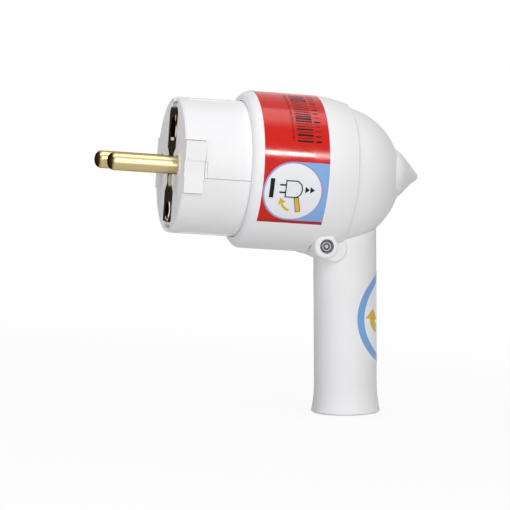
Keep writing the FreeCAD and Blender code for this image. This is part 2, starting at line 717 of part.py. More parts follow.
def make_head_shell():
    shell = shell_wall()
    hub_room = cyl_y(HUB_R + PART_GAP, -NOTCH_HALF, NOTCH_HALF)
    notch = box_mid_y(NOTCH_HALF, (PIVOT_X, SHELL_REAR + 2), (-FAR, PIVOT_Z + NOTCH_UP))
    shell = shell.cut(fuse([hub_room, notch]))
    shell = fuse([shell, pivot_boss(), mirrored_y(pivot_boss())])
    shell = shell.cut(cyl_y(SLEEVE_R - SLEEVE_WALL, -FAR, FAR))
    seat_y = NOTCH_HALF + SLEEVE_SEAT
    shell = shell.cut(cyl_y(SLEEVE_R + RUN_GAP, -seat_y, seat_y))
    shell = shell.cut(cyl_y(PIVOT_HEAD_R + SLIP_GAP, -FAR, -BOSS_RECESS_Y))
    return shell.cut(cyl_y(PIVOT_NUT_R + SLIP_GAP, BOSS_RECESS_Y, FAR))


def make_retaining_ring():
    """Open snap ring behind the insert's flange, seated in the shell's groove."""
    start = INSERT_FLANGE_TO + SEAT_GAP
    ring = tube_x(SHELL_INNER_R + RING_GROOVE - RUN_GAP, INSERT_R + SLIP_GAP, start, start + RING_WIDTH)
    return ring.cut(box_mid_y(RING_OPENING / 2, (start - 1, FAR), (-FAR, 0)))


# Pivot

def make_pivot_sleeve():
    half = NOTCH_HALF + SLEEVE_SEAT - SEAT_GAP
    return cyl_y(SLEEVE_R, -half, half).cut(cyl_y(SLEEVE_R - SLEEVE_WALL, -FAR, FAR))


def make_pivot_screw():
    """Screw with a six-sided drive, sunk in the near boss."""
    top_y = -BOSS_RECESS_Y - PIVOT_HEAD
    head = cyl_y(PIVOT_HEAD_R, top_y, -BOSS_RECESS_Y)
    head = head.makeChamfer(PIVOT_HEAD * 0.25, ends_at_y(head, top_y))
    shank = cyl_y(SLEEVE_R - SLEEVE_WALL - RUN_GAP, -BOSS_RECESS_Y - 0.1, BOSS_RECESS_Y + PIVOT_HEAD * 0.9)
    drive = []
    for corner in range(6):
        angle = math.radians(60 * corner)
        drive.append(V(PIVOT_X + DRIVE_R * math.cos(angle), top_y - 1, PIVOT_Z + DRIVE_R * math.sin(angle)))
    socket = Part.Face(Part.makePolygon(drive + drive[:1])).extrude(V(0, 1 + DRIVE_DEPTH, 0))
    return fuse([head, shank]).cut(socket)


def make_pivot_nut():
    """Round nut in the far boss, with a slot for a key."""
    nut = cyl_y(PIVOT_NUT_R, BOSS_RECESS_Y, BOSS_RECESS_Y + PIVOT_HEAD)
    nut = nut.cut(cyl_y(SLEEVE_R - SLEEVE_WALL - RUN_GAP, 0, FAR))
    slot_y = (BOSS_RECESS_Y + PIVOT_HEAD * 0.5, FAR)
    return nut.cut(box((PIVOT_X - 3, PIVOT_X + 3), slot_y, (PIVOT_Z - 0.25, PIVOT_Z + 0.25)))


# Lever

def handle_outer(skin=0.0):
    """Round handle with a flared end, in its own frame."""
    side_r = HANDLE_R + skin
    end_r = HANDLE_END_R + skin
    flare_from = -HANDLE_LENGTH + HANDLE_FLARE
    end = -HANDLE_LENGTH
    flare_mid = (side_r + (end_r - side_r) * 0.27, flare_from * 0.5 + (end + HANDLE_EDGE) * 0.5)
    profile = outline(
        (0, HANDLE_TOP),
        [(side_r, HANDLE_TOP)],
        [(side_r, flare_from)],
        [flare_mid, (end_r, end + HANDLE_EDGE)],
        [(end_r - HANDLE_EDGE, end)],
        [(0, end)],
    )
    return profile.revolve(V(0, 0, 0), Z_AXIS, 360)


def hub_block(grow=0.0):
    """Hub between the two bosses, with the lobe that runs into the handle."""
    lobe = (PIVOT_X + HUB_LOBE_BACK, PIVOT_Z - HUB_LOBE_DOWN)
    face = hull((PIVOT_X, PIVOT_Z), HUB_R + grow, lobe, HUB_LOBE_R + grow)
    block = plate_y(face, -HUB_HALF - grow, HUB_HALF + grow)
    rims = ends_at_y(block, -HUB_HALF - grow) + ends_at_y(block, HUB_HALF + grow)
    return block if grow else block.makeFillet(HUB_ROUND, rims)


def make_handle():
    ledge = stalk(SPIGOT_R + SEAT_GAP, -FAR, LEDGE_DOWN + 1)
    bore = stalk(HANDLE_BORE_R, LEDGE_DOWN, HANDLE_LENGTH + 1)
    seat = stalk(BUSH_R + RUN_GAP, BUSH_LOW - BUSH_LENGTH - SEAT_GAP, HANDLE_LENGTH + 1)
    dome_side = box_mid_y(FAR, (DOME_FRONT - SLIP_GAP, FAR + FAR), (-FAR, FAR))
    tube = on_handle(handle_outer()).cut(dome_ball(DOME_R + SEAT_GAP))
    tube = tube.common(box_mid_y(FAR, (0, FAR + FAR), (-2 * FAR, 0)))
    block = hub_block().cut(dome_ball(DOME_R - DOME_WALL - SEAT_GAP).common(dome_side))
    handle = fuse([tube, block])
    handle = handle.cut(on_handle(fuse([ledge, bore, seat])))
    return handle.cut(cyl_y(SLEEVE_R + RUN_GAP, -FAR, FAR))


def ellipse(x, z, half_height, half_width):
    curve = Part.Ellipse(V(x, half_width, z), V(x, 0, z + half_height), V(x, 0, z))
    return Part.Wire([curve.toShape()])


def beak():
    """Pointed finger stop behind the dome, a loft through ellipses."""
    wires = [ellipse(HEAD_LENGTH + back, z, height, width) for back, z, height, width in BEAK_SECTIONS]
    tip_x = HEAD_LENGTH + BEAK_TIP
    wires.append(ellipse(tip_x, *BEAK_END))
    solid = Part.makeLoft(wires, True, False)
    return solid.makeFillet(BEAK_TIP_ROUND, ends_at_x(solid, tip_x))


def dome_inside(shape):
    """Part of a shape that lies inside the dome's outer face."""
    return shape.common(dome_ball(DOME_R - DOME_WALL / 2))


def clamp_pillars():
    """Two pillars and the saddle behind the cable."""
    front = CLAMP_X + CLAMP_THICKNESS + SEAT_GAP
    parts = []
    for side in SIDES:
        parts.append(cyl_x(CLAMP_PILLAR_R, front, FAR, side * CLAMP_SCREW_Y, CLAMP_MID_Z))
    cable_x = front - CLAMP_GRIP + CLAMP_CABLE_R
    height = (CLAMP_BOTTOM + CLAMP_EASE, CLAMP_TOP - CLAMP_EASE)
    saddle = box_mid_y(CLAMP_SCREW_Y, (cable_x + CLAMP_CABLE_R * 0.7, FAR), height)
    cable = Part.makeCylinder(CLAMP_CABLE_R + SLIP_GAP, FAR, V(cable_x, 0, -FAR / 2))
    return fuse(parts + [saddle.cut(cable)])


def push_post():
    """Post with a round nose that pushes the rod, held by a rib above it."""
    post = fuse([Part.makeSphere(NOSE_R, V(NOSE_X, 0, 0)), cyl_x(NOSE_R, NOSE_X, FAR)])
    rib = box_mid_y(RIB_HALF, (RIB_FROM, FAR), (0, FAR))
    return fuse([post, rib])


def make_rear_dome():
    """Ball-shaped dome with its beak, push post, clamp pillars and spigot."""
    shell = fuse([dome_ball(DOME_R), beak()]).cut(dome_ball(DOME_R - DOME_WALL))
    dome = shell.cut(box_mid_y(FAR, (0, DOME_FRONT), (-FAR, FAR)))
    dome = fuse([dome, dome_inside(push_post()), dome_inside(clamp_pillars())])
    dome = dome.cut(hub_block(SEAT_GAP))
    end = LEDGE_DOWN + SPIGOT_NUT + 0.7
    spigot = on_handle(stalk(SPIGOT_R, -SPIGOT_UP, end))
    passage = on_handle(stalk(SPIGOT_R - SPIGOT_WALL, -SPIGOT_UP - 1, end + 1))
    dome = fuse([dome, spigot]).cut(passage)

    for side in SIDES:
        hole_to = CLAMP_X + CLAMP_SCREW_LENGTH
        dome = dome.cut(cyl_x(CLAMP_SCREW_R, CLAMP_X, hole_to, side * CLAMP_SCREW_Y, CLAMP_MID_Z))
    boss_room = cyl_y(BOSS_R + BOSS_CLEAR, NOTCH_HALF - PART_GAP / 2, FAR)
    return dome.cut(boss_room).cut(mirrored_y(boss_room))


def make_spigot_nut():
    """Ring nut on the spigot, with slots in its lower face for a key."""
    top = LEDGE_DOWN + SEAT_GAP
    low = top + SPIGOT_NUT
    nut = stalk(HANDLE_BORE_R - SPIGOT_NUT_GAP, top, low).cut(stalk(SPIGOT_R + RUN_GAP, top - 1, low + 1))
    for turn in range(3):
        slot = box_mid_y(0.7, (-FAR, FAR), (-low - 1, -low + 1.2))
        slot.rotate(V(0, 0, 0), Z_AXIS, 60 * turn)
        nut = nut.cut(slot)
    return on_handle(nut)


def make_cable_clamp():
    """Bar that presses the cable back against the saddle in the dome."""
    bar = box_mid_y(CLAMP_HALF, (CLAMP_X, CLAMP_X + CLAMP_THICKNESS), (CLAMP_BOTTOM, CLAMP_TOP))
    uprights = [edge for edge in bar.Edges if edge.BoundBox.XLength > CLAMP_THICKNESS * 0.9]
    bar = bar.makeFillet(1.0, uprights)
    cable_x = CLAMP_X + CLAMP_THICKNESS - CLAMP_GRIP + CLAMP_CABLE_R
    bar = bar.cut(Part.makeCylinder(CLAMP_CABLE_R, FAR, V(cable_x, 0, -FAR / 2)))
    for side in SIDES:
        bar = bar.cut(cyl_x(CLAMP_SCREW_R + SLIP_GAP, 0, FAR, side * CLAMP_SCREW_Y, CLAMP_MID_Z))
    return bar


def make_cable_clamp_screws():
    screw = slotted_screw(CLAMP_SCREW_R - RUN_GAP, CLAMP_HEAD_R, CLAMP_HEAD, CLAMP_SCREW_LENGTH - 0.5)
    screws = [placed_screw(screw, (CLAMP_X, side * CLAMP_SCREW_Y, CLAMP_MID_Z), X_AXIS) for side in SIDES]
    return Part.makeCompound(screws)


def make_cable_bush():
    """Rubber bush in the handle's mouth."""
    top = BUSH_LOW - BUSH_LENGTH
    bush = stalk(BUSH_R, top, BUSH_LOW).cut(stalk(CABLE_R, top - 1, BUSH_LOW + 1))
    middle = (top + BUSH_LOW) / 2
    half = BUSH_GROOVE / 2
    groove = stalk(BUSH_R + 1, middle - half, middle + half)
    groove = groove.cut(stalk(BUSH_R - BUSH_GROOVE_DEPTH, middle - BUSH_LENGTH, middle + BUSH_LENGTH))
    return on_handle(bush.cut(groove))


# Extraction rod

def make_ejector_rod():
    rod = cyl_x(ROD_R, ROD_TIP, ROD_END)
    rod = rod.makeChamfer(0.2, ends_at_x(rod, ROD_TIP))
    groove_from = CLIP_TO - CLIP_THICKNESS - SEAT_GAP
    return rod.cut(tube_x(ROD_R + 1, ROD_R - CLIP_GROOVE, groove_from, CLIP_TO + SEAT_GAP))


def make_ejector_plate():
    """Round plate that the return spring presses on."""
    plate = tube_x(PLATE_R, ROD_R + RUN_GAP, PLATE_FROM, PLATE_TO)
    outer = []
    for edge in ends_at_x(plate, PLATE_TO) + ends_at_x(plate, PLATE_FROM):
        if edge.BoundBox.YLength > PLATE_R:
            outer.append(edge)
    return plate.makeChamfer(0.25, outer)


def make_plate_clip():
    """Open clip in the rod's groove, behind the plate."""
    clip = tube_x(CLIP_R, ROD_R - CLIP_GROOVE + RUN_GAP, CLIP_TO - CLIP_THICKNESS, CLIP_TO)
    return clip.cut(box_mid_y(ROD_R - CLIP_GROOVE, (0, FAR), (-FAR, 0)))


def make_ejector_spring():
    """Compression spring round the rod, wound as quarter-turn arcs."""
    start = GUIDE_TUBE_END + SPRING_WIRE_R + SEAT_GAP
    end = PLATE_FROM - SPRING_WIRE_R - SEAT_GAP
    pitch = (end - start) / SPRING_TURNS

    def point(turn):
        angle = 2 * math.pi * turn
        return V(start + pitch * turn, SPRING_MEAN_R * math.cos(angle), SPRING_MEAN_R * math.sin(angle))

    edges = []
    for quarter in range(4 * SPRING_TURNS):
        turn = quarter / 4
        arc = Part.Arc(point(turn), point(turn + 0.125), point(turn + 0.25))
        edges.append(arc.toShape())
    path = Part.Wire(edges)
    tangent = edges[0].tangentAt(edges[0].FirstParameter)
    section = Part.Wire(Part.makeCircle(SPRING_WIRE_R, point(0), tangent))
    spring = path.makePipeShell([section], True, False)
    print("spring: volume %.2f, section times length %.2f, gap between turns %.2f mm"
          % (spring.Volume, math.pi * SPRING_WIRE_R ** 2 * path.Length, pitch - 2 * SPRING_WIRE_R))
    return spring


# Printed skins

def make_head_label():
    """Thin skin wrapped round the upper part of the head."""
    ring = tube_x(SHELL_R + LABEL_SKIN, SHELL_R, LABEL_FROM_X, LABEL_TO_X)
    before = LABEL_FROM_X - 1
    corners = [V(before, 0, 0)]
    steps = 6
    for step in range(steps + 1):
        angle = math.radians(LABEL_LOW_ANGLE + (LABEL_FAR_ANGLE - LABEL_LOW_ANGLE) * step / steps)
        corners.append(V(before, -2 * SHELL_R * math.cos(angle), 2 * SHELL_R * math.sin(angle)))
    sector = Part.Face(Part.makePolygon(corners + corners[:1]))
    return ring.common(sector.extrude(V(LABEL_TO_X - before + 1, 0, 0)))


def make_handle_label():
    """Round skin wrapped on the back of the handle."""
    points = []
    steps = 24
    for step in range(steps):
        angle = 2 * math.pi * step / steps
        across = DECAL_R * math.cos(angle)
        points.append(V(0, HANDLE_R * math.sin(across / HANDLE_R), -DECAL_DOWN + DECAL_R * math.sin(angle)))
    curve = Part.BSplineCurve()
    curve.interpolate(points, PeriodicFlag=True)
    window = Part.Face(Part.Wire(curve.toShape())).extrude(V(FAR, 0, 0))
    return on_handle(handle_outer(LABEL_SKIN).cut(handle_outer()).common(window))


def keep_solid(shape):
    """The solids of a result, without the compound that a cut may leave."""
    solids = shape.Solids
    if len(solids) == 1:
        return solids[0]
    return Part.makeCompound(solids)


def build():
    return {
        "head_shell": make_head_shell(),
        "insert_upper": make_insert_upper(),
        "insert_lower": make_insert_lower(),
        "retaining_ring": make_retaining_ring(),
        "pin_line": make_pin(-1),
        "pin_neutral": make_pin(1),
        "earth_strap": make_earth_strap(),
        "earth_socket": make_earth_socket(),
        "earth_terminal": make_earth_terminal(),
        "terminal_screw_line": make_terminal_screw(-1),
        "terminal_screw_neutral": make_terminal_screw(1),
        "terminal_screw_earth": make_earth_terminal_screw(),
        "pivot_sleeve": make_pivot_sleeve(),
        "pivot_screw": make_pivot_screw(),
        "pivot_nut": make_pivot_nut(),
        "head_label": make_head_label(),
        "handle": make_handle(),
        "rear_dome": make_rear_dome(),
        "spigot_nut": make_spigot_nut(),
        "cable_clamp": make_cable_clamp(),
        "cable_clamp_screws": make_cable_clamp_screws(),
        "cable_bush": make_cable_bush(),
        "handle_label": make_handle_label(),
        "ejector_rod": make_ejector_rod(),
        "ejector_plate": make_ejector_plate(),
        "plate_clip": make_plate_clip(),
        "ejector_spring": make_ejector_spring(),
    }


def main():
    os.makedirs("parts", exist_ok=True)
    for name, shape in build().items():
        solid = keep_solid(shape)
        state = "valid" if solid.isValid() else "not valid"
        print("%-24s solids %d  volume %9.2f  %s" % (name, len(shape.Solids), solid.Volume, state))
        solid.exportStep(os.path.join("parts", name + ".step"))


main()
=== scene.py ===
"""Looks of an earthed two-pole plug whose lever handle pushes it out of the wall socket."""
import math

import bmesh
import bpy
from bpy.props import FloatProperty, FloatVectorProperty, IntProperty, PointerProperty, StringProperty
from mathutils import Matrix, Vector


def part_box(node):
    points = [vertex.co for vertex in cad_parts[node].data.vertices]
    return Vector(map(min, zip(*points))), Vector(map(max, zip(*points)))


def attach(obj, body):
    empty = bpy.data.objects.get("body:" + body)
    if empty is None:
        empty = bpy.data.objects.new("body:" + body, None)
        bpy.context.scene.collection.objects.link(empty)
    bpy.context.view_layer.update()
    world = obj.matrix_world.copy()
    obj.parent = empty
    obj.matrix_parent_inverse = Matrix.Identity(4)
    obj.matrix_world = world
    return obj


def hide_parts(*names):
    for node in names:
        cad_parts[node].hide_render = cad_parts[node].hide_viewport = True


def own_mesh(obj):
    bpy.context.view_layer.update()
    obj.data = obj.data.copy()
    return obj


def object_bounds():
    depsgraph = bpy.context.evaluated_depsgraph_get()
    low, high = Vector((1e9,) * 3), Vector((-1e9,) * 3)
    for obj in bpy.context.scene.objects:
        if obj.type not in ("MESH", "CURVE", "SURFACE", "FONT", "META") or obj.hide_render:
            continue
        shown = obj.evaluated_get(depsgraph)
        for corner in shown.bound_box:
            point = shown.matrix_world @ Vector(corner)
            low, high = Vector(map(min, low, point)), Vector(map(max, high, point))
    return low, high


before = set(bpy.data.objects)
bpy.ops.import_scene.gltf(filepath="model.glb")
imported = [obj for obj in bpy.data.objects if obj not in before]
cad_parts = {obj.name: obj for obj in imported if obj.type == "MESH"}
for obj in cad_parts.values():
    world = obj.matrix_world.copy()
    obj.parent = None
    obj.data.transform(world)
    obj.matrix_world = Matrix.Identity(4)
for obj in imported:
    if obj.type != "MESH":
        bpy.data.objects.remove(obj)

bl_info = {
    "name": "Earthed plug with lever handle",
    "version": (1, 0, 0),
    "blender": (4, 5, 0),
    "location": "3D View > Sidebar > Plug",
    "description": "Surfaces, prints and studio of an earthed plug with a lever handle",
    "category": "Object",
}

MM = 0.001
CAD_BOX = [list(corner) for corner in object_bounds()]

# Places that the construction fixes, in metres and radians
HEAD_FILM_LOW, HEAD_FILM_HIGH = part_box("head_label")
HEAD_R = HEAD_FILM_HIGH.z
HANDLE_TILT = math.radians(4.6)
HANDLE_FOOT = Vector((0.05046, 0.0, -0.019))
HANDLE_R = 0.00876

# Insert and its guide pads, in millimetres
INSERT_R = 18.4
PAD_TOP, PAD_UPPER, PAD_LOWER, GUIDE_TOP = 6.9, 5.4, 5.2, 1.75
SEAM_Z = -2.8

# Earth strap in millimetres: half the outline of its plates in Y and Z, height of their back above the
# front face, their thickness, and the painted highlights on the strap's ends and on the plates
PLATE_HALF = [(3.8, 15.45), (5.1, 14.2), (5.1, 4.6), (3.0, 3.0),
              (3.0, -5.4), (5.1, -7.2), (5.1, -14.9), (4.5, -15.45)]
PLATE_RIM = PLATE_HALF + [(-y, z) for y, z in reversed(PLATE_HALF)]
PLATE_BACK, PLATE_THICKNESS = -0.45, 0.47
STRAP_END_HIGHLIGHTS = ((0.0, 19.0, 6.0, 3.5, 1.0), (0.0, -19.0, 6.0, 3.5, 1.0))
PLATE_HIGHLIGHTS = (
    (-1.9, -12.2, 1.4, 2.2, 1.0), (1.6, -14.5, 0.6, 0.5, 0.7), (-0.6, -14.9, 0.8, 0.35, 0.8),
    (-4.1, 9.0, 0.8, 1.7, 0.9), (-0.2, 6.9, 2.3, 0.45, 0.8), (-2.4, 12.6, 0.5, 0.9, 0.6),
    (-1.0, -4.2, 3.4, 1.7, 0.5),
)

# Pivot screw: shank and back of the head in millimetres, steps round it; then the spring's coil and wire
SHANK_R, HEAD_BACK, SCREW_STEPS = 1.4, 0.9, 72
STEPS_A_TURN, WIRE_SIDES = 32, 12

# Limit of a stroke's corners, angle above which an edge stays sharp, and thickness of a printed bar
MITRE_LIMIT = 0.4
SHARP_ANGLE = math.radians(35)
BAR_THICKNESS = 0.03 * MM

# Thickness of printed ink, and how high each layer lies on its film, in millimetres
INK = 0.012
ON_FILM, ON_EDGE, ON_FIELD, ON_RING, ON_DISC, ON_FIGURE = 0.002, 0.003, 0.016, 0.030, 0.044, 0.058

# Joint lines: gap to the edge of a pad, and height of the grey's back above the surface, in millimetres
JOINT_GAP, JOINT_BACK = 0.01, -0.2

# Sockets of a colour mix, the range of nearly all noise values, and how far out a painted highlight
# fades, in half widths plus half the noise
MIX_A, MIX_B, MIX_RESULT = 6, 7, 2
NOISE_SPAN = (0.35, 0.65)
SPOT_FADE = (1.05, 1.4)

# Soft boxes: name, place from the aim and size in metres, power in watts, colour
LAMPS = (
    ("key", (0.24, -0.84, 0.46), (0.065, 0.065), 2.35, "#FFFFFF"),
    ("overhead", (0.15, -0.05, 0.95), (0.55, 0.32), 2.0, "#FFFFFF"),
    ("over_left", (-0.40, -0.15, 0.80), (0.50, 0.40), 2.45, "#FAFAFD"),
    ("camera_side", (-0.06, -0.48, 0.02), (0.30, 0.25), 1.0, "#FFFFFF"),
    ("camera_left", (-0.42, -0.32, 0.02), (0.30, 0.25), 0.4, "#FFFFFF"),
    ("left_cool", (-0.85, -0.16, 0.27), (0.07, 0.07), 0.75, "#DEDFF3"),
)

# Floor in metres: its radius, its gap below the part, and where its visible shading fades round the aim
FLOOR_R, FLOOR_GAP, FLOOR_STEPS = 4.0, 0.0002, 96
SHADOW_NEAR, SHADOW_FAR = 0.06, 0.35

# Camera: width of its sensor in millimetres, and nearest visible distance in metres
SENSOR_WIDTH, CLIP_START = 36.0, 0.01


# Shared helpers

def linear(hex_colour):
    """Linear colour with full alpha from an sRGB hex value."""
    values = []
    for start in (1, 3, 5):
        value = int(hex_colour[start:start + 2], 16) / 255
        values.append(value / 12.92 if value <= 0.04045 else ((value + 0.055) / 1.055) ** 2.4)
    return (*values, 1.0)


def add_node(tree, kind, links=None, **settings):
    """Add a node with its settings; links gives each input a value or another node's output."""
    node = tree.nodes.new(kind)
    for name, value in settings.items():
        setattr(node, name, value)
    for key, source in (links or {}).items():
        if isinstance(source, bpy.types.NodeSocket):
            tree.links.new(source, node.inputs[key])
        else:
            node.inputs[key].default_value = source
    return node


def maths(tree, operation, *values):
    """Result of a maths node on numbers or other nodes' outputs."""
    return add_node(tree, "ShaderNodeMath", dict(enumerate(values)), operation=operation).outputs[0]


def ranged(tree, value, span, ends, ramp="SMOOTHSTEP"):
    """Value led from one end to the other over a span, and held beyond it."""
    links = {"Value": value, "From Min": span[0], "From Max": span[1], "To Min": ends[0], "To Max": ends[1]}
    return add_node(tree, "ShaderNodeMapRange", links, interpolation_type=ramp).outputs["Result"]


def cleared_tree(owner):
    """Empty node tree of a material or world."""
    owner.use_nodes = True
    owner.node_tree.nodes.clear()
    return owner.node_tree


def new_object(name, data):
    """Object in the scene with the given data."""
    item = bpy.data.objects.new(name, data)
    bpy.context.scene.collection.objects.link(item)
    return item


def new_material(name, **surface):
    """Material with one Principled shader, and its Object coordinates in millimetres."""
    material = bpy.data.materials.new(name)
    tree = cleared_tree(material)
    shader = add_node(tree, "ShaderNodeBsdfPrincipled", surface)
    add_node(tree, "ShaderNodeOutputMaterial", {"Surface": shader.outputs["BSDF"]})
    coords = add_node(tree, "ShaderNodeTexCoord")
    scaled = add_node(tree, "ShaderNodeMapping", {"Vector": coords.outputs["Object"], "Scale": (1 / MM,) * 3})
    return material, tree, shader, scaled.outputs["Vector"]


def noise_value(tree, point, scale, detail=2.0):
    """Value of a noise texture; a larger scale gives a finer pattern."""
    noise = add_node(tree, "ShaderNodeTexNoise", {"Vector": point, "Scale": scale, "Detail": detail})
    return noise.outputs["Fac"]


def blended(tree, factor, colour_a, colour_b):
    """Mix of two colours, each a value or another node's output."""
    mix = add_node(tree, "ShaderNodeMix", {"Factor": factor, MIX_A: colour_a, MIX_B: colour_b},
                   data_type="RGBA")
    return mix.outputs[MIX_RESULT]


def stretched_point(tree, point, scale):
    """Coordinates scaled by axis, which draws a pattern out along an axis with a low scale."""
    return add_node(tree, "ShaderNodeMapping", {"Vector": point, "Scale": scale}).outputs["Vector"]


def speckled(tree, shader, point, name, low, high, scale):
    """Drive one shader input between two values by noise of a given scale."""
    value = ranged(tree, noise_value(tree, point, scale, detail=3.0), NOISE_SPAN, (low, high), "LINEAR")
    tree.links.new(value, shader.inputs[name])


def tinted(tree, shader, point, colour_a, colour_b, scale, detail=2.0):
    """Blend two near colours by soft noise, and link them to the base colour."""
    noise = noise_value(tree, point, scale, detail)
    colour = blended(tree, noise, linear(colour_a), linear(colour_b))
    tree.links.new(colour, shader.inputs["Base Color"])
    return colour


def relief(tree, shader, height, height_mm, strength=1.0):
    """Shallow relief: its pattern, its height in millimetres and its strength."""
    bump = add_node(tree, "ShaderNodeBump",
                    {"Height": height, "Strength": strength, "Distance": height_mm * MM})
    tree.links.new(bump.outputs["Normal"], shader.inputs["Normal"])


def dress(material, *names):
    """Give carried nodes a material."""
    for name in names:
        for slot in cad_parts[name].material_slots:
            slot.material = material


# Materials

def moulded_abs(name, colour, shade, roughness):
    """ABS, injection moulded in a polished tool.

    To the eye: a clean white with a soft gloss, faintly uneven where the melt cooled.
    """
    material, tree, shader, point = new_material(name, **{"IOR": 1.54, "Specular IOR Level": 0.22})
    tinted(tree, shader, point, colour, shade, scale=0.06)
    speckled(tree, shader, point, "Roughness", roughness - 0.03, roughness + 0.05, scale=0.25)
    relief(tree, shader, noise_value(tree, point, scale=0.3), height_mm=0.0002)
    return material


def polished_brass(name, colour, shade, tip_colour, tip_from, tip_to):
    """Brass, turned and polished, with a painted dark reflection on the rounded ends of the pins.

    To the eye: warm yellow metal with fine rings from the lathe.  The real
    rings are 0.05 mm apart and are drawn 0.35 mm apart so that they show.
    """
    material, tree, shader, point = new_material(name, **{"Metallic": 1.0, "Specular Tint": linear("#A89A74")})
    stretched = stretched_point(tree, point, (1.0, 0.12, 0.12))
    rings = noise_value(tree, stretched, scale=2.9)
    body = blended(tree, rings, linear(colour), linear(shade))
    place = add_node(tree, "ShaderNodeSeparateXYZ", {"Vector": point})
    blotch = noise_value(tree, point, scale=1.1, detail=3.0)
    uneven = maths(tree, "MULTIPLY_ADD", blotch, 0.5, place.outputs["X"])
    # Painted dark reflection on the rounded tips, fading in along X with ragged noise
    dark = ranged(tree, uneven, (tip_to, tip_from), (0.0, 1.0))
    darkened = blended(tree, dark, body, linear(tip_colour))
    tree.links.new(darkened, shader.inputs["Base Color"])
    speckled(tree, shader, stretched, "Roughness", 0.30, 0.33, scale=2.9)
    relief(tree, shader, rings, height_mm=0.0002, strength=0.5)
    return material


def plated_sheet(name, colour, shade, edge, bright, spots):
    """Spring bronze sheet with nickel plate, its dark colour a painted reflection, with painted highlights in
    spots.

    To the eye: a dark brown mirror with long soft streaks from rolling; the dark brown is a painted
    reflection of dark surroundings, and the cream spots are painted highlights.  A spot is its middle in Y and
    Z, its half width and half height in millimetres, and its strength from 0 to 1.
    """
    material, tree, shader, point = new_material(name, Metallic=1.0)
    stretched = stretched_point(tree, point, (0.25, 1.0, 0.18))
    # Base colour: dark brown, a painted reflection of dark surroundings, streaked along Y
    dark = tinted(tree, shader, stretched, colour, shade, scale=0.9, detail=3.0)
    speckled(tree, shader, stretched, "Roughness", 0.12, 0.3, scale=0.8)
    blotch = noise_value(tree, point, scale=1.6)
    painted_highlight = None
    for y, z, wide, high, strength in spots:
        held = add_node(tree, "ShaderNodeVectorMath", {0: point, 1: (0.0, -y, -z)}, operation="ADD")
        even = add_node(tree, "ShaderNodeVectorMath", {0: held.outputs[0], 1: (0.0, 1 / wide, 1 / high)},
                        operation="MULTIPLY")
        far = add_node(tree, "ShaderNodeVectorMath", {0: even.outputs[0]}, operation="LENGTH")
        ragged = maths(tree, "MULTIPLY_ADD", blotch, 0.5, far.outputs["Value"])
        spot = ranged(tree, ragged, SPOT_FADE, (strength, 0.0))
        painted_highlight = spot if painted_highlight is None else maths(tree, "MAXIMUM", painted_highlight, spot)
    # Painted highlights: cream base colour and specular tint inside the spots
    for key, low in (("Base Color", dark), ("Specular Tint", linear(edge))):
        tree.links.new(blended(tree, painted_highlight, low, linear(bright)), shader.inputs[key])
    return material


def plated_steel(name, colour, shade, roughness):
    """Steel, cold headed and zinc plated.

    To the eye: mid grey, a little cloudy, brighter on its high edges.
    """
    material, tree, shader, point = new_material(name, Metallic=1.0)
    tinted(tree, shader, point, colour, shade, scale=0.9, detail=3.0)
    speckled(tree, shader, point, "Roughness", roughness - 0.06, roughness + 0.1, scale=1.6)
    relief(tree, shader, noise_value(tree, point, scale=2.2), height_mm=0.004)
    return material


def gap_shade(name, colour, shade):
    """Painted shade for plastic or steel deep in a narrow joint or groove.

    To the eye: a dull grey line that hardly shines.
    """
    surface = {"IOR": 1.54, "Specular IOR Level": 0.1, "Roughness": 0.8}
    material, tree, shader, point = new_material(name, **surface)
    tinted(tree, shader, point, colour, shade, scale=0.8)
    return material


def moulded_rubber(name, colour, shade):
    """Rubber, moulded in a blasted tool.

    To the eye: a dull near-black with a fine even grain of about 0.1 mm.
    """
    material, tree, shader, point = new_material(name, Roughness=0.62, IOR=1.52)
    tinted(tree, shader, point, colour, shade, scale=0.5)
    relief(tree, shader, noise_value(tree, point, scale=6.0), height_mm=0.012)
    return material


def printed_film(name, colour, shade, roughness=0.15, gloss=0.22):
    """Polyester film, printed with solid ink and covered by clear gloss.

    To the eye: an even colour under a thin bright gloss that waves a little with the glue below.
    """
    material, tree, shader, point = new_material(name, **{"IOR": 1.5, "Specular IOR Level": gloss})
    tinted(tree, shader, point, colour, shade, scale=0.12)
    speckled(tree, shader, point, "Roughness", roughness - 0.03, roughness + 0.05, scale=0.3)
    relief(tree, shader, noise_value(tree, point, scale=0.2), height_mm=0.002)
    return material


# Flat outlines in millimetres, and thin layers with such outlines laid on a surface

def circle(centre, radius, steps=64, start=0.0, sweep=360.0):
    """Outline of a circle, or points along an arc given by its start and sweep in degrees."""
    points = []
    count = steps if sweep == 360.0 else steps + 1
    for step in range(count):
        angle = math.radians(start + sweep * step / steps)
        points.append((centre[0] + radius * math.cos(angle), centre[1] + radius * math.sin(angle)))
    return points


def moved(points, shift, turn=0.0):
    """Outline turned by degrees and shifted."""
    cos, sin = math.cos(math.radians(turn)), math.sin(math.radians(turn))
    return [(x * cos - y * sin + shift[0], x * sin + y * cos + shift[1]) for x, y in points]


def stroke(points, width, closed=False):
    """Outline of an even line along points, mitred at its corners."""
    count = len(points)
    left, right = [], []
    for index, (x, y) in enumerate(points):
        before = points[index - 1] if closed or index else None
        after = points[(index + 1) % count] if closed or index < count - 1 else None
        runs = []
        if before is not None:
            runs.append(Vector((x - before[0], y - before[1])).normalized())
        if after is not None:
            runs.append(Vector((after[0] - x, after[1] - y)).normalized())
        along = sum(runs, Vector((0, 0))).normalized()
        side = Vector((-along.y, along.x))
        half = width / 2 / max(MITRE_LIMIT, side.dot(Vector((-runs[0].y, runs[0].x))))
        left.append((x + side.x * half, y + side.y * half))
        right.append((x - side.x * half, y - side.y * half))
    return [left, right] if closed else [left + right[::-1]]


def on_head(u, v, lift):
    """Point on the head's film: u along X and v round the near flank upwards, in millimetres."""
    radius = HEAD_R + lift * MM
    angle = v * MM / HEAD_R
    return Vector((u * MM, -radius * math.cos(angle), radius * math.sin(angle)))


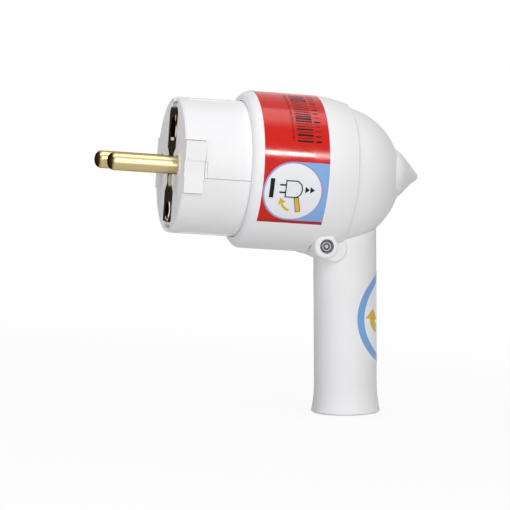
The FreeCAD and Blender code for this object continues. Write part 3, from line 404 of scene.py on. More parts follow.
def on_handle(u, v, lift):
    """Point on the handle's back: u round it and v down it, in millimetres."""
    radius = HANDLE_R + lift * MM
    angle = u * MM / HANDLE_R
    local = Vector((radius * math.cos(angle), radius * math.sin(angle), -v * MM))
    return Matrix.Rotation(-HANDLE_TILT, 3, "Y") @ local + HANDLE_FOOT


def print_shape(name, loops, place, lift, thickness, material, body, grid=0.7):
    """Thin layer on a surface, bounded by flat loops, the first outside and the rest holes."""
    mesh = bmesh.new()
    edges = []
    for loop in loops:
        corners = [mesh.verts.new((u, v, 0.0)) for u, v in loop]
        edges += [mesh.edges.new((corners[i - 1], corners[i])) for i in range(len(corners))]
    bmesh.ops.triangle_fill(mesh, use_beauty=True, use_dissolve=False, edges=edges)
    for axis in (0, 1):
        values = [corner.co[axis] for corner in mesh.verts]
        cut = math.floor(min(values) / grid) * grid + grid
        while cut < max(values) - 1e-6:
            point, normal = [0.0, 0.0, 0.0], [0.0, 0.0, 0.0]
            point[axis], normal[axis] = cut, 1.0
            bmesh.ops.bisect_plane(mesh, geom=mesh.verts[:] + mesh.edges[:] + mesh.faces[:],
                                   plane_co=point, plane_no=normal, dist=1e-5)
            cut += grid
    raised = bmesh.ops.extrude_face_region(mesh, geom=mesh.faces[:])
    top = {item for item in raised["geom"] if isinstance(item, bmesh.types.BMVert)}
    for corner in mesh.verts:
        corner.co = place(corner.co.x, corner.co.y, lift + (thickness if corner in top else 0.0))
    bmesh.ops.recalc_face_normals(mesh, faces=mesh.faces[:])
    return finish_piece(name, mesh, material, body)


def skin(mesh, rows):
    """Join rings of corners into one closed surface with a cap at each end."""
    for row, after in zip(rows, rows[1:]):
        for index in range(len(row)):
            mesh.faces.new((row[index - 1], row[index], after[index], after[index - 1]))
    mesh.faces.new(rows[0])
    mesh.faces.new(rows[-1])
    bmesh.ops.recalc_face_normals(mesh, faces=mesh.faces[:])


def finish_piece(name, mesh, material, body):
    """Turn a mesh into a smooth-shaded piece that rides on a body."""
    data = bpy.data.meshes.new(name)
    mesh.to_mesh(data)
    mesh.free()
    data.shade_smooth()
    data.set_sharp_from_angle(angle=SHARP_ANGLE)
    data.materials.append(material)
    piece = new_object(name, data)
    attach(piece, body)
    return piece


# Settings that a user would change

class PlasticSettings(bpy.types.PropertyGroup):
    colour: StringProperty(
        name="White", description="Colour of the moulded white plastic, sRGB hex", default="#EFEEEE")
    shade: StringProperty(
        name="Shade", description="Second tone where the plastic cooled slower, sRGB hex", default="#ECEBEC")
    face_colour: StringProperty(
        name="Inner white", description="Colour of the moving inner pieces, sRGB hex", default="#E9E9E6")
    roughness: FloatProperty(
        name="Roughness", description="Roughness of the outer plastic", default=0.50, min=0.05, max=1.0)


class MetalSettings(bpy.types.PropertyGroup):
    brass: StringProperty(
        name="Brass", description="Colour of the polished brass, sRGB hex", default="#C3B388")
    brass_shade: StringProperty(
        name="Brass shade", description="Second tone of the brass, sRGB hex", default="#B9A77A")
    # Dark colour of the pin tips: a painted reflection
    tip: StringProperty(
        name="Pin tips", description="Colour of the tarnished pin tips, sRGB hex", default="#2B241A")
    tip_from: FloatProperty(
        name="Tip start", description="Place of the dark tips along X, in millimetres", default=-18.0)
    tip_fade: FloatProperty(
        name="Tip fade", description="Width over which the dark tips fade, in millimetres",
        default=0.9, min=0.1)
    # The strap's dark colour is a painted reflection of dark surroundings
    strap: StringProperty(
        name="Earth strap", description="Colour of the earth strap, sRGB hex", default="#2C261B")
    steel: StringProperty(name="Steel", description="Colour of the plated steel, sRGB hex", default="#B9B9BC")


class SpringSettings(bpy.types.PropertyGroup):
    wire: FloatProperty(
        name="Wire", description="Radius of the spring's wire, in millimetres", default=0.35, min=0.05)
    turns: IntProperty(name="Turns", description="Turns of the coil", default=6, min=1)
    travel: FloatProperty(
        name="Travel", description="How much the rod's full travel shortens the spring, in millimetres",
        default=5.9, min=0.0)


class PlateSettings(bpy.types.PropertyGroup):
    earth_z: FloatProperty(
        name="Earth hole", description="Height of the earth pin's hole, in millimetres", default=10.0)
    earth_r: FloatProperty(
        name="Earth hole radius", description="Radius of the earth pin's hole, in millimetres",
        default=2.8, min=0.5)
    rod_r: FloatProperty(
        name="Rod hole radius", description="Radius of the pushing rod's hole, in millimetres",
        default=2.1, min=0.5)
    hollow_z: FloatProperty(
        name="Hollow", description="Height of the pressed hollow's middle, in millimetres", default=-12.2)
    hollow_r: FloatProperty(
        name="Hollow radius", description="Radius of the pressed hollow, in millimetres", default=2.5, min=0.1)
    hollow_depth: FloatProperty(
        name="Hollow depth", description="Depth of the pressed hollow, in millimetres",
        default=0.35, min=0.0, max=0.4)


class JointSettings(bpy.types.PropertyGroup):
    # Greys of the joints: painted shadow in the narrow gaps, darkest along the pads' top edge
    colour: StringProperty(name="Grey", description="Colour deep in the joints, sRGB hex", default="#5A5A60")
    pale: StringProperty(
        name="Pale grey", description="Colour in the cleaner joints, sRGB hex", default="#9A9AA0")
    width: FloatProperty(
        name="Width", description="Width of a joint line, in millimetres", default=0.14, min=0.02, max=0.16)
    sunk: FloatProperty(
        name="Depth", description="How deep the grey lies below the surface, in millimetres",
        default=0.06, min=0.01, max=0.2)


class ScrewSettings(bpy.types.PropertyGroup):
    steel: StringProperty(
        name="Steel", description="Colour of the screw's plating, sRGB hex", default="#C2C1C7")
    # Painted shade in the screw's grooves and round its head
    painted_shade: StringProperty(
        name="Dirt", description="Colour of the dirt in grooves and round the head, sRGB hex", default="#7E7E84")
    drive: FloatProperty(
        name="Drive", description="Half width of the six-sided socket, in millimetres", default=0.45, min=0.2)
    depth: FloatProperty(
        name="Drive depth", description="Depth of the socket, in millimetres", default=0.8, min=0.1)
    groove: FloatProperty(
        name="Groove", description="Depth of the ring grooves in the head, in millimetres",
        default=0.4, min=0.0)


class HeadPrintSettings(bpy.types.PropertyGroup):
    red: StringProperty(name="Red", description="Colour of the film's red field, sRGB hex", default="#CE1A10")
    blue: StringProperty(name="Blue", description="Colour of the blue field, sRGB hex", default="#86AEE0")
    ring: StringProperty(
        name="Ring", description="Colour of the ring round the disc, sRGB hex", default="#8C95C4")
    ink: StringProperty(name="Ink", description="Colour of the dark ink, sRGB hex", default="#1B1A1D")
    yellow: StringProperty(
        name="Yellow", description="Colour of the lever and arrows, sRGB hex", default="#E2B93A")
    disc_u: FloatProperty(
        name="Disc along X", description="Middle of the disc along X, in millimetres", default=28.9)
    disc_v: FloatProperty(
        name="Disc round the head", description="Middle of the disc up from the side, in millimetres",
        default=-5.0)
    disc_r: FloatProperty(
        name="Disc radius", description="Radius of the white disc, in millimetres", default=7.75, min=1.0)
    ring_width: FloatProperty(
        name="Ring width", description="Width of the ring, in millimetres", default=0.45, min=0.05)


class BarSettings(bpy.types.PropertyGroup):
    count: IntProperty(name="Bars", description="Number of dark bars in the row", default=22, min=2)
    marks: IntProperty(name="Marks", description="Number of short marks beside the bars", default=13, min=2)
    low: FloatProperty(
        name="Lowest bar", description="Angle of the lowest bar above the side",
        default=math.radians(24), subtype="ANGLE")
    high: FloatProperty(
        name="Highest bar", description="Angle of the highest bar above the side",
        default=math.radians(74), subtype="ANGLE")
    length: FloatProperty(
        name="Bar length", description="Length of a bar along X", default=0.0044, unit="LENGTH", min=0.0001)
    at: FloatProperty(
        name="Place along X", description="Middle of the row along X", default=0.0318, unit="LENGTH")
    thin: FloatProperty(
        name="Thin", description="Width of the thinnest bar", default=0.00012, unit="LENGTH", min=0.00002)
    thick: FloatProperty(
        name="Thick", description="Width of the thickest bar", default=0.0007, unit="LENGTH", min=0.00002)
    seed: IntProperty(name="Seed", description="Seed of the bar widths", default=4)


class HandlePrintSettings(bpy.types.PropertyGroup):
    blue: StringProperty(name="Blue", description="Colour of the ring, sRGB hex", default="#7FA9DE")
    paper: StringProperty(name="Disc", description="Colour inside the ring, sRGB hex", default="#F0F4F6")
    down: FloatProperty(
        name="Down the handle", description="Middle of the disc below the pivot, in millimetres", default=19.85)
    radius: FloatProperty(
        name="Radius", description="Outer radius of the ring, in millimetres", default=12.85, min=1.0)
    ring_width: FloatProperty(
        name="Ring width", description="Width of the ring, in millimetres", default=2.2, min=0.1)


class StudioSettings(bpy.types.PropertyGroup):
    aim: FloatVectorProperty(
        name="Aim", description="Point that the camera looks at",
        default=(0.0252, 0.0, -0.0231), subtype="XYZ", unit="LENGTH")
    distance: FloatProperty(name="Distance", description="Camera to aim", default=0.6, unit="LENGTH")
    yaw: FloatProperty(
        name="Yaw", description="Camera turned to the right of straight ahead",
        default=math.radians(14.5), subtype="ANGLE")
    pitch: FloatProperty(
        name="Pitch", description="Camera looking down", default=math.radians(3.0), subtype="ANGLE")
    roll: FloatProperty(
        name="Roll", description="Camera turned about its own axis",
        default=math.radians(-4.06), subtype="ANGLE")
    lens: FloatProperty(
        name="Lens", description="Focal length on a 36 mm wide sensor, in millimetres", default=155.36)
    floor: StringProperty(name="Floor", description="Colour of the floor, sRGB hex", default="#D9D9D9")
    ambient: FloatProperty(
        name="Ambient", description="Strength of the even light from all round", default=0.09, min=0.0)
    shadow: FloatProperty(
        name="Floor shadow", description="Share of the floor's own shading that the camera sees",
        default=0.06, min=0.0, max=1.0)


# Operators, one for each piece or group of like pieces

class PLUG_OT_plastic(bpy.types.Operator):
    """Give the moulded housings their white plastic"""
    bl_idname = "plug.plastic"
    bl_label = "Moulded plastic"

    def execute(self, context):
        settings = context.scene.plug_plastic
        outer = moulded_abs("abs_white_gloss", settings.colour, settings.shade, settings.roughness)
        inner = moulded_abs("abs_white_inner", settings.face_colour, settings.shade, settings.roughness + 0.08)
        dress(outer, "head_shell", "insert_upper", "insert_lower", "rear_dome", "handle")
        dress(inner, "retaining_ring", "spigot_nut", "cable_clamp", "ejector_rod", "ejector_plate")
        rubber = moulded_rubber("rubber_black", "#232323", "#1C1C1D")
        dress(rubber, "cable_bush")
        return {"FINISHED"}


class PLUG_OT_metal(bpy.types.Operator):
    """Give pins, contacts, screws and spring their metals"""
    bl_idname = "plug.metal"
    bl_label = "Metal pieces"

    def execute(self, context):
        settings = context.scene.plug_metal
        brass = polished_brass("brass_polished", settings.brass, settings.brass_shade, settings.tip,
                               settings.tip_from, settings.tip_from + settings.tip_fade)
        dress(brass, "pin_line", "pin_neutral", "earth_terminal")
        # Strap: dark painted reflection, with painted cream highlights at its ends and on the plates
        strap = plated_sheet("nickel_plated_sheet", settings.strap, shade="#241D14", edge="#959084",
                             bright="#EDEADF", spots=STRAP_END_HIGHLIGHTS + PLATE_HIGHLIGHTS)
        dress(strap, "earth_strap")
        steel = plated_steel("steel_zinc_plated", settings.steel, "#8E8E92", 0.3)
        dress(steel, "terminal_screw_line", "terminal_screw_neutral", "terminal_screw_earth",
              "pivot_screw", "pivot_nut", "pivot_sleeve", "cable_clamp_screws", "plate_clip")
        wire = plated_steel("steel_spring_wire", "#8F9094", "#6C6D72", 0.28)
        dress(wire, "ejector_spring")
        return {"FINISHED"}


class PLUG_OT_spring(bpy.types.Operator):
    """Coil the return spring at one fixed length, though in the plug it shortens as the rod is pushed out"""
    bl_idname = "plug.spring"
    bl_label = "Return spring"

    def execute(self, context):
        s = context.scene.plug_spring
        low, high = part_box("ejector_spring")
        wire, start, end = s.wire * MM, low.x + s.wire * MM, high.x - s.wire * MM
        mean = high.y - wire
        steps = STEPS_A_TURN * s.turns
        mesh = bmesh.new()
        rows = []
        for step in range(steps + 1):
            angle = 2 * math.pi * s.turns * step / steps
            out = Vector((0.0, math.cos(angle), math.sin(angle)))
            middle = out * mean + Vector((start + (end - start) * step / steps, 0.0, 0.0))
            row = []
            for side in range(WIRE_SIDES):
                turn = 2 * math.pi * side / WIRE_SIDES
                along = Vector((wire * math.sin(turn), 0.0, 0.0))
                row.append(mesh.verts.new(middle + out * wire * math.cos(turn) + along))
            rows.append(row)
        skin(mesh, rows)
        wire_steel = bpy.data.materials["steel_spring_wire"]
        piece = finish_piece("spring_coil", mesh, wire_steel, "plug")
        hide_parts("ejector_spring")
        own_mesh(piece)
        return {"FINISHED"}


class PLUG_OT_plates(bpy.types.Operator):
    """Lay the earth strap's plates into the front face, with their holes and the hollow"""
    bl_idname = "plug.plates"
    bl_label = "Earth plates"

    def execute(self, context):
        s = context.scene.plug_plates

        def on_plate(u, v, lift):
            """Point on the front face, pressed in at the hollow."""
            out = math.hypot(u, v - s.hollow_z) / s.hollow_r
            if lift > PLATE_BACK and out < 1.0:
                lift -= s.hollow_depth * (1.0 - out * out) ** 2
            return Vector((-lift * MM, u * MM, v * MM))

        holes = [circle((0.0, s.earth_z), s.earth_r), circle((0.0, 0.0), s.rod_r, 48)]
        print_shape("strap_plates", [PLATE_RIM] + holes, on_plate, PLATE_BACK, PLATE_THICKNESS,
                    bpy.data.materials["nickel_plated_sheet"], "plug", grid=0.35)
        return {"FINISHED"}


class PLUG_OT_joints(bpy.types.Operator):
    """Fill the depth of the fine joints round the guide pads and along the insert's seam with painted shadow"""
    bl_idname = "plug.joints"
    bl_label = "Joint lines"

    def execute(self, context):
        s = context.scene.plug_joints
        # Painted gap shadow: dark along the pads' top edge, pale in the other joints
        dark = gap_shade("abs_painted_gap_shadow", s.colour, "#4E4E54")
        pale = gap_shade("abs_shaded_joint", s.pale, "#929298")
        # Each line: name, grey, start and end along X, lower and upper edge
        lines = (
            ("top", dark, 0.1, 5.5, PAD_TOP + JOINT_GAP, PAD_TOP + JOINT_GAP + s.width),
            ("rear_upper", pale, PAD_UPPER + JOINT_GAP, PAD_UPPER + JOINT_GAP + s.width, GUIDE_TOP, PAD_TOP),
            ("rear_lower", pale, PAD_LOWER + JOINT_GAP, PAD_LOWER + JOINT_GAP + s.width,
             -PAD_TOP, SEAM_Z - 0.1),
            ("bottom", pale, 0.1, 5.3, -PAD_TOP - JOINT_GAP - s.width, -PAD_TOP - JOINT_GAP),
            ("seam", pale, 5.6, 17.9, SEAM_Z - s.width / 2, SEAM_Z + s.width / 2),
        )
        for side in (-1.0, 1.0):
            def on_flank(u, v, lift):
                """Point on one flank of the insert."""
                return Vector((u * MM, side * (math.sqrt(INSERT_R ** 2 - v ** 2) + lift) * MM, v * MM))

            for name, grey, x0, x1, z0, z1 in lines:
                print_shape("joint_%s_%s" % (name, "near" if side < 0 else "far"),
                            [[(x0, z0), (x1, z0), (x1, z1), (x0, z1)]], on_flank, JOINT_BACK,
                            -JOINT_BACK - s.sunk, grey, "plug")
        return {"FINISHED"}


class PLUG_OT_screw(bpy.types.Operator):
    """Turn the pivot screw: rounded head with two ring grooves and a six-sided socket"""
    bl_idname = "plug.screw"
    bl_label = "Pivot screw"

    def execute(self, context):
        s = context.scene.plug_screw
        low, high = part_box("pivot_screw")
        head = (high.z - low.z) / 2 / MM
        length = (high.y - low.y) / MM
        middle = Vector(((low.x + high.x) / 2, low.y, (low.z + high.z) / 2))

        def drive(grow):
            """Radius of the six-sided socket at each angle."""
            sixth, half = math.pi / 3, math.pi / 6
            return lambda angle: (s.drive + grow) / math.cos((angle + half) % sixth - half)

        # Radius and depth behind the head's front, from the shank's end to the bottom of the socket
        rings = [
            (SHANK_R - 0.2, length), (SHANK_R, length - 0.2), (SHANK_R, HEAD_BACK),
            (head, HEAD_BACK), (head, 0.34), (head - 0.08, 0.12), (head - 0.16, 0.02), (head - 0.22, 0.05),
            (head - 0.26, s.groove), (head - 0.44, s.groove), (head - 0.48, 0.06), (head - 0.56, 0.0),
            (head - 0.84, 0.0), (head - 0.9, 0.06), (head - 0.94, s.groove), (head - 1.18, s.groove),
            (head - 1.22, 0.1), (drive(0.06), 0.1), (drive(0.01), 0.2), (drive(0.0), s.depth),
        ]
        mesh = bmesh.new()
        rows = []
        for radius, back in rings:
            row = []
            for step in range(SCREW_STEPS):
                angle = 2 * math.pi * step / SCREW_STEPS
                reach = (radius(angle) if callable(radius) else radius) * MM
                corner = Vector((reach * math.cos(angle), back * MM, reach * math.sin(angle)))
                row.append(mesh.verts.new(middle + corner))
            rows.append(row)
        skin(mesh, rows)
        steel = plated_steel("steel_screw_head", s.steel, "#96959B", 0.18)
        piece = finish_piece("pivot_screw_turned", mesh, steel, "plug")
        piece.data.materials.append(gap_shade("steel_painted_groove_shade", s.painted_shade, "#3A3A3F"))
        # Painted shade in the two ring grooves, and on the head's side in the gap round it
        for face in piece.data.polygons:
            out = math.hypot(face.center.x - middle.x, face.center.z - middle.z) / MM
            if out > head - 1.2 and 0.2 < (face.center.y - low.y) / MM < HEAD_BACK:
                face.material_index = 1
        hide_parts("pivot_screw")
        return {"FINISHED"}


class PLUG_OT_head_print(bpy.types.Operator):
    """Print the film on the head: fields, disc, ring and pictogram"""
    bl_idname = "plug.head_print"
    bl_label = "Head print"

    def execute(self, context):
        s = context.scene.plug_head_print
        red = printed_film("film_red", s.red, "#C6180F")
        blue = printed_film("film_blue", s.blue, "#7FA8DB")
        ring = printed_film("film_ring", s.ring, "#9DA6D8")
        paper = printed_film("film_white", "#EBECEF", "#E6E8EC")
        ink = printed_film("film_ink", s.ink, "#201E22", 0.3, 0.1)
        yellow = printed_film("film_yellow", s.yellow, "#D9AE30")
        dark_red = printed_film("film_dark_red", "#A3262A", "#9A2025")
        dress(red, "head_label")
        margin = 0.05
        left, right = HEAD_FILM_LOW.x / MM + margin, HEAD_FILM_HIGH.x / MM - margin
        centre = (s.disc_u, s.disc_v)
        outer = s.disc_r + s.ring_width
        low, high = s.disc_v - outer, s.disc_v + outer

        def layer(name, loops, lift, material):
            """One layer of ink on the head's film."""
            print_shape("head_" + name, loops, on_head, lift, INK, material, "plug")

        layer("blue_field", [[(s.disc_u, low), (right, low), (right, high), (s.disc_u, high)]], ON_FILM, blue)
        foot = low - 0.75
        layer("foot_strip", [[(left, foot), (right, foot), (right, low), (left, low)]], ON_EDGE, dark_red)
        layer("ring", [circle(centre, outer)], ON_FIELD, ring)
        layer("disc", [circle(centre, s.disc_r)], ON_RING, paper)

        def at(points, shift, turn=0.0):
            """Outline placed from the disc's middle."""
            return moved(points, (centre[0] + shift[0], centre[1] + shift[1]), turn)

        socket = [(-1.0, -2.6), (-1.0, 2.6), (0.2, 2.6), (0.2, -2.6)]
        layer("wall", [at(socket, (-5.4, 0.9))], ON_DISC, ink)
        body = [(-1.9, 2.2), (1.2, 2.2), (2.3, 1.3), (2.6, 0.0), (2.3, -1.3), (1.2, -2.2), (-1.9, -2.2)]
        layer("plug_outline", stroke(at(body, (-0.1, 0.9)), 0.32, closed=True), ON_DISC, ink)
        for index, side in enumerate((-1.0, 1.0)):
            prong = [(-1.7, -0.22), (0.0, -0.22), (0.0, 0.22), (-1.7, 0.22)]
            layer("prong_%d" % index, [at(prong, (-2.0, 0.9 + side))], ON_DISC, ink)
        chevron = [(0.0, -0.9), (1.25, 0.0), (0.0, 0.9)]
        for index in range(2):
            layer("chevron_%d" % index, [at(chevron, (3.3 + 1.35 * index, 0.9))], ON_DISC, ink)
        bar = [(-0.62, 0.0), (0.62, 0.0), (0.62, -4.1), (-0.62, -4.1)]
        layer("lever", [at(bar, (1.1, -1.35), 14.0)], ON_DISC, yellow)
        layer("lever_line", stroke(at(bar, (1.1, -1.35), 14.0), 0.16, closed=True), ON_FIGURE, ink)
        curve = circle((0.0, 0.0), 3.3, 14, 205.0, 52.0)
        layer("swing", stroke(at(curve, (0.4, -1.9)), 0.62), ON_DISC, yellow)
        arrow = [(-1.15, 0.0), (1.15, 0.0), (0.0, 1.75)]
        layer("swing_head", [at(arrow, (-2.55, -3.2), 22.0)], ON_DISC, yellow)
        return {"FINISHED"}


def bar_tree():
    """Geometry node tree: a row of bars swung about the X axis, each of its own width."""
    tree = bpy.data.node_groups.new("bar_row", "GeometryNodeTree")
    sockets = {}
    for name, kind in (("Count", "Int"), ("Start", "Float"), ("Step", "Float"), ("Length", "Float"),
                       ("Thickness", "Float"), ("Place", "Vector"), ("Thin", "Float"), ("Thick", "Float"),
                       ("Seed", "Int"), ("Ink", "Material")):
        socket = tree.interface.new_socket(name, in_out="INPUT", socket_type="NodeSocket" + kind)
        sockets[name] = socket.identifier
    tree.interface.new_socket("Geometry", in_out="OUTPUT", socket_type="NodeSocketGeometry")
    given = add_node(tree, "NodeGroupInput").outputs
    line = add_node(tree, "GeometryNodeMeshLine", {"Count": given["Count"], "Offset": (0.0, 0.0, 0.0)})
    size = add_node(tree, "ShaderNodeCombineXYZ", {"X": given["Length"], "Y": given["Thickness"], "Z": 1.0})
    cube = add_node(tree, "GeometryNodeMeshCube", {"Size": size.outputs[0]})
    swung = add_node(tree, "GeometryNodeTransform",
                     {"Geometry": cube.outputs["Mesh"], "Translation": given["Place"]})
    index = add_node(tree, "GeometryNodeInputIndex")
    angle = maths(tree, "MULTIPLY_ADD", index.outputs[0], given["Step"], given["Start"])
    turn = add_node(tree, "ShaderNodeCombineXYZ", {"X": angle})
    width = add_node(tree, "FunctionNodeRandomValue", {"Seed": given["Seed"]}, data_type="FLOAT")
    tree.links.new(given["Thin"], width.inputs[2])
    tree.links.new(given["Thick"], width.inputs[3])
    stretch = add_node(tree, "ShaderNodeCombineXYZ", {"X": 1.0, "Y": 1.0, "Z": width.outputs[1]})
    row = add_node(tree, "GeometryNodeInstanceOnPoints",
                   {"Points": line.outputs["Mesh"], "Instance": swung.outputs["Geometry"],
                    "Rotation": turn.outputs[0], "Scale": stretch.outputs[0]})
    real = add_node(tree, "GeometryNodeRealizeInstances", {"Geometry": row.outputs["Instances"]})
    inked = add_node(tree, "GeometryNodeSetMaterial",
                     {"Geometry": real.outputs["Geometry"], "Material": given["Ink"]})
    add_node(tree, "NodeGroupOutput", {"Geometry": inked.outputs["Geometry"]})
    return tree, sockets


def grown_mesh(name, tree, sockets, values):
    """Plain mesh that a geometry node tree makes from the given values."""
    host = new_object(name, bpy.data.meshes.new(name))
    modifier = host.modifiers.new("rows", "NODES")
    modifier.node_group = tree
    for key, value in values.items():
        modifier[sockets[key]] = value
    host.update_tag()
    bpy.context.view_layer.update()
    mesh = bpy.data.meshes.new_from_object(host.evaluated_get(bpy.context.evaluated_depsgraph_get()))
    host.modifiers.remove(modifier)
    host.data = mesh
    return host


class PLUG_OT_bars(bpy.types.Operator):
    """Print the rows of dark bars on the upper part of the film"""
    bl_idname = "plug.bars"
    bl_label = "Bar rows"

    def execute(self, context):
        s = context.scene.plug_bars
        ink = bpy.data.materials["film_ink"]
        tree, sockets = bar_tree()
        # Each row: name, count, middle along X, length, thinnest and thickest bar, seed
        rows = (
            ("head_bars", s.count, s.at, s.length, s.thin, s.thick, s.seed),
            ("head_marks", s.marks, s.at + s.length * 0.5 + 0.0014, 0.0016, 0.0002, 0.0006, s.seed + 3),
            ("head_ticks", s.count * 2, s.at - s.length * 0.5 - 0.0011, 0.0006, 0.00008, 0.00022, s.seed + 5),
        )
        for name, count, at, length, thin, thick, seed in rows:
            step = (s.high - s.low) / (count - 1)
            piece = grown_mesh(name, tree, sockets, {
                "Count": count, "Start": -s.low, "Step": -step, "Length": length, "Thickness": BAR_THICKNESS,
                "Place": (at, -HEAD_R, 0.0), "Thin": thin, "Thick": thick, "Seed": seed, "Ink": ink})
            faces_a_bar = 6
            if len(piece.data.polygons) < faces_a_bar * count:
                raise RuntimeError("the row of bars came out short")
            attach(piece, "plug")
        return {"FINISHED"}


class PLUG_OT_handle_print(bpy.types.Operator):
    """Print the round film on the handle: ring, disc and arrows"""
    bl_idname = "plug.handle_print"
    bl_label = "Handle print"

    def execute(self, context):
        s = context.scene.plug_handle_print
        paper = printed_film("film_paper", s.paper, "#EAF0F3")
        blue = printed_film("film_ring_blue", s.blue, "#78A2D8")
        dress(paper, "handle_label")
        yellow, ink = bpy.data.materials["film_yellow"], bpy.data.materials["film_ink"]
        centre = (0.0, s.down)

        def layer(name, loops, lift, material):
            """One layer of ink on the handle's film."""
            print_shape("handle_" + name, loops, on_handle, lift, INK, material, "lever")

        edges = [circle(centre, radius, 96) for radius in (s.radius, s.radius - s.ring_width)]
        layer("ring", edges, ON_FILM, blue)
        for index, side in enumerate((-1.0, 1.0)):
            turn = 0.0 if side > 0 else 180.0
            curve = moved(circle((-4.4, -0.1), 3.0, 12, 96.0, 84.0), centre, turn)
            layer("swing_%d" % index, stroke(curve, 2.3), ON_FILM, yellow)
            head = moved(moved([(-2.9, 0.0), (2.9, 0.0), (0.0, -3.0)], (-7.4, 0.1), 8.0), centre, turn)
            layer("swing_head_%d" % index, [head], ON_FILM, yellow)
        grip = [(-1.5, -5.2), (1.5, -5.2), (1.5, 5.2), (-1.5, 5.2)]
        layer("grip", stroke(moved(grip, centre), 0.35, closed=True), ON_FILM, ink)
        return {"FINISHED"}


class PLUG_OT_studio(bpy.types.Operator):
    """Set up the floor, the lamps, the world and the camera"""
    bl_idname = "plug.studio"
    bl_label = "Studio"

    def execute(self, context):
        s = context.scene.plug_studio
        scene = context.scene
        self.floor(s)
        self.lamps(s)
        self.world(scene, s)
        self.camera(scene, s)
        scene.view_settings.view_transform = "Standard"
        return {"FINISHED"}

    def floor(self, s):
        """Pale round floor just under the handle, white to the camera but for a little of its shading."""
        mesh = bmesh.new()
        bmesh.ops.create_circle(mesh, cap_ends=True, radius=FLOOR_R, segments=FLOOR_STEPS)
        bmesh.ops.translate(mesh, verts=mesh.verts[:], vec=(0.0, 0.0, CAD_BOX[0][2] - FLOOR_GAP))
        data = bpy.data.meshes.new("floor")
        mesh.to_mesh(data)
        mesh.free()
        floor = new_object("floor", data)
        material = bpy.data.materials.new("floor_matt_white")
        tree = cleared_tree(material)
        lit = add_node(tree, "ShaderNodeBsdfDiffuse", {"Color": linear(s.floor)})
        white = add_node(tree, "ShaderNodeEmission", {"Strength": 1.0})
        seen = self.background_rays(tree)
        coords = add_node(tree, "ShaderNodeTexCoord")
        away = add_node(tree, "ShaderNodeVectorMath", {0: coords.outputs["Object"], 1: Vector(s.aim)},
                        operation="DISTANCE")
        kept = ranged(tree, away.outputs["Value"], (SHADOW_NEAR, SHADOW_FAR), (1.0 - s.shadow, 1.0))
        share = maths(tree, "MULTIPLY", seen, kept)
        mix = add_node(tree, "ShaderNodeMixShader",
                       {0: share, 1: lit.outputs[0], 2: white.outputs[0]})
        add_node(tree, "ShaderNodeOutputMaterial", {"Surface": mix.outputs[0]})
        data.materials.append(material)

    def background_rays(self, tree):
        """1 for rays that show the background: from the camera, in gloss and through clear things."""
        path = add_node(tree, "ShaderNodeLightPath")
        seen = maths(tree, "MAXIMUM", path.outputs["Is Camera Ray"], path.outputs["Is Glossy Ray"])
        return maths(tree, "MAXIMUM", seen, path.outputs["Is Transmission Ray"])

    def lamps(self, s):
        """Soft boxes: a small one above the camera, two overhead, two beside it, a cool one at the left."""
        aim = Vector(s.aim)
        for name, place, size, power, colour in LAMPS:
            lamp = bpy.data.lights.new(name, "AREA")
            lamp.shape = "RECTANGLE"
            lamp.size, lamp.size_y = size
            lamp.energy = power
            lamp.color = linear(colour)[:3]
            holder = new_object(name, lamp)
            holder.location = aim + Vector(place)
            holder.rotation_euler = Vector(place).to_track_quat("Z", "Y").to_euler()

    def world(self, scene, s):
        """White all round for the camera and in gloss, and an even pale light on the object."""
        world = bpy.data.worlds.new("studio_white")
        tree = cleared_tree(world)
        seen = self.background_rays(tree)
        white = add_node(tree, "ShaderNodeBackground", {"Color": (1.0, 1.0, 1.0, 1.0), "Strength": 1.0})
        light = add_node(tree, "ShaderNodeBackground", {"Color": (1.0, 1.0, 1.0, 1.0), "Strength": s.ambient})
        mix = add_node(tree, "ShaderNodeMixShader", {0: seen, 1: light.outputs[0], 2: white.outputs[0]})
        add_node(tree, "ShaderNodeOutputWorld", {"Surface": mix.outputs[0]})
        scene.world = world

    def camera(self, scene, s):
        """Camera at its distance from the aim, turned by yaw, pitch and roll."""
        level = math.cos(s.pitch)
        look = Vector((math.sin(s.yaw) * level, math.cos(s.yaw) * level, -math.sin(s.pitch)))
        right = Vector((math.cos(s.yaw), -math.sin(s.yaw), 0.0))
        down = look.cross(right)
        across = right * math.cos(s.roll) + down * math.sin(s.roll)
        up = right * math.sin(s.roll) - down * math.cos(s.roll)
        turn = Matrix((across, up, -look)).transposed().to_4x4()
        lens = bpy.data.cameras.new("camera")
        lens.lens = s.lens
        lens.sensor_width = SENSOR_WIDTH
        lens.clip_start = CLIP_START
        camera = new_object("camera", lens)
        camera.matrix_world = Matrix.Translation(Vector(s.aim) - look * s.distance) @ turn
        scene.camera = camera


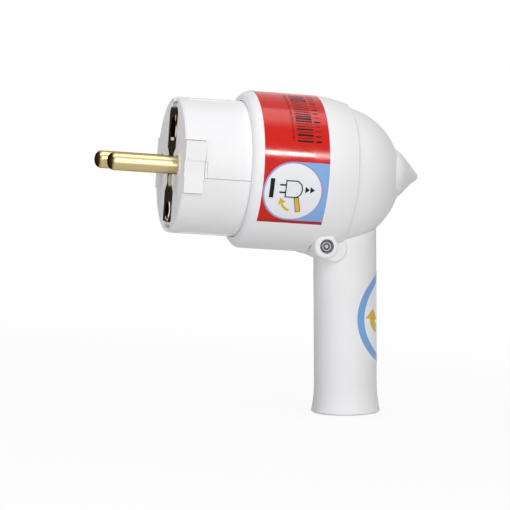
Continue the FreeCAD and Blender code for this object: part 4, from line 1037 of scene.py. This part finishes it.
OPERATORS = (PLUG_OT_plastic, PLUG_OT_metal, PLUG_OT_spring, PLUG_OT_plates, PLUG_OT_joints, PLUG_OT_screw,
             PLUG_OT_head_print, PLUG_OT_bars, PLUG_OT_handle_print, PLUG_OT_studio)
SETTINGS = {
    "plug_plastic": PlasticSettings, "plug_metal": MetalSettings, "plug_spring": SpringSettings,
    "plug_plates": PlateSettings, "plug_joints": JointSettings, "plug_screw": ScrewSettings,
    "plug_head_print": HeadPrintSettings, "plug_bars": BarSettings, "plug_handle_print": HandlePrintSettings,
    "plug_studio": StudioSettings,
}


class PLUG_PT_panel(bpy.types.Panel):
    """Sidebar panel with the settings and the steps"""
    bl_idname = "PLUG_PT_panel"
    bl_label = "Plug"
    bl_space_type = "VIEW_3D"
    bl_region_type = "UI"
    bl_category = "Plug"

    def draw(self, context):
        column = self.layout.column()
        for operator in OPERATORS:
            column.operator(operator.bl_idname)
        for name in SETTINGS:
            group = getattr(context.scene, name)
            section = self.layout.box()
            section.label(text=name.replace("plug_", "").replace("_", " ").capitalize())
            for key in group.bl_rna.properties.keys():
                if key not in ("rna_type", "name"):
                    section.prop(group, key)


def register():
    for group in SETTINGS.values():
        bpy.utils.register_class(group)
    for operator in OPERATORS:
        bpy.utils.register_class(operator)
    bpy.utils.register_class(PLUG_PT_panel)
    for name, group in SETTINGS.items():
        setattr(bpy.types.Scene, name, PointerProperty(type=group))


def unregister():
    for name in SETTINGS:
        delattr(bpy.types.Scene, name)
    bpy.utils.unregister_class(PLUG_PT_panel)
    for operator in reversed(OPERATORS):
        bpy.utils.unregister_class(operator)
    for group in reversed(list(SETTINGS.values())):
        bpy.utils.unregister_class(group)


def main():
    """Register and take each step."""
    register()
    bpy.ops.plug.plastic()
    bpy.ops.plug.metal()
    bpy.ops.plug.spring()
    bpy.ops.plug.plates()
    bpy.ops.plug.joints()
    bpy.ops.plug.screw()
    bpy.ops.plug.head_print()
    bpy.ops.plug.bars()
    bpy.ops.plug.handle_print()
    bpy.ops.plug.studio()


if __name__ == "__main__":
    main()
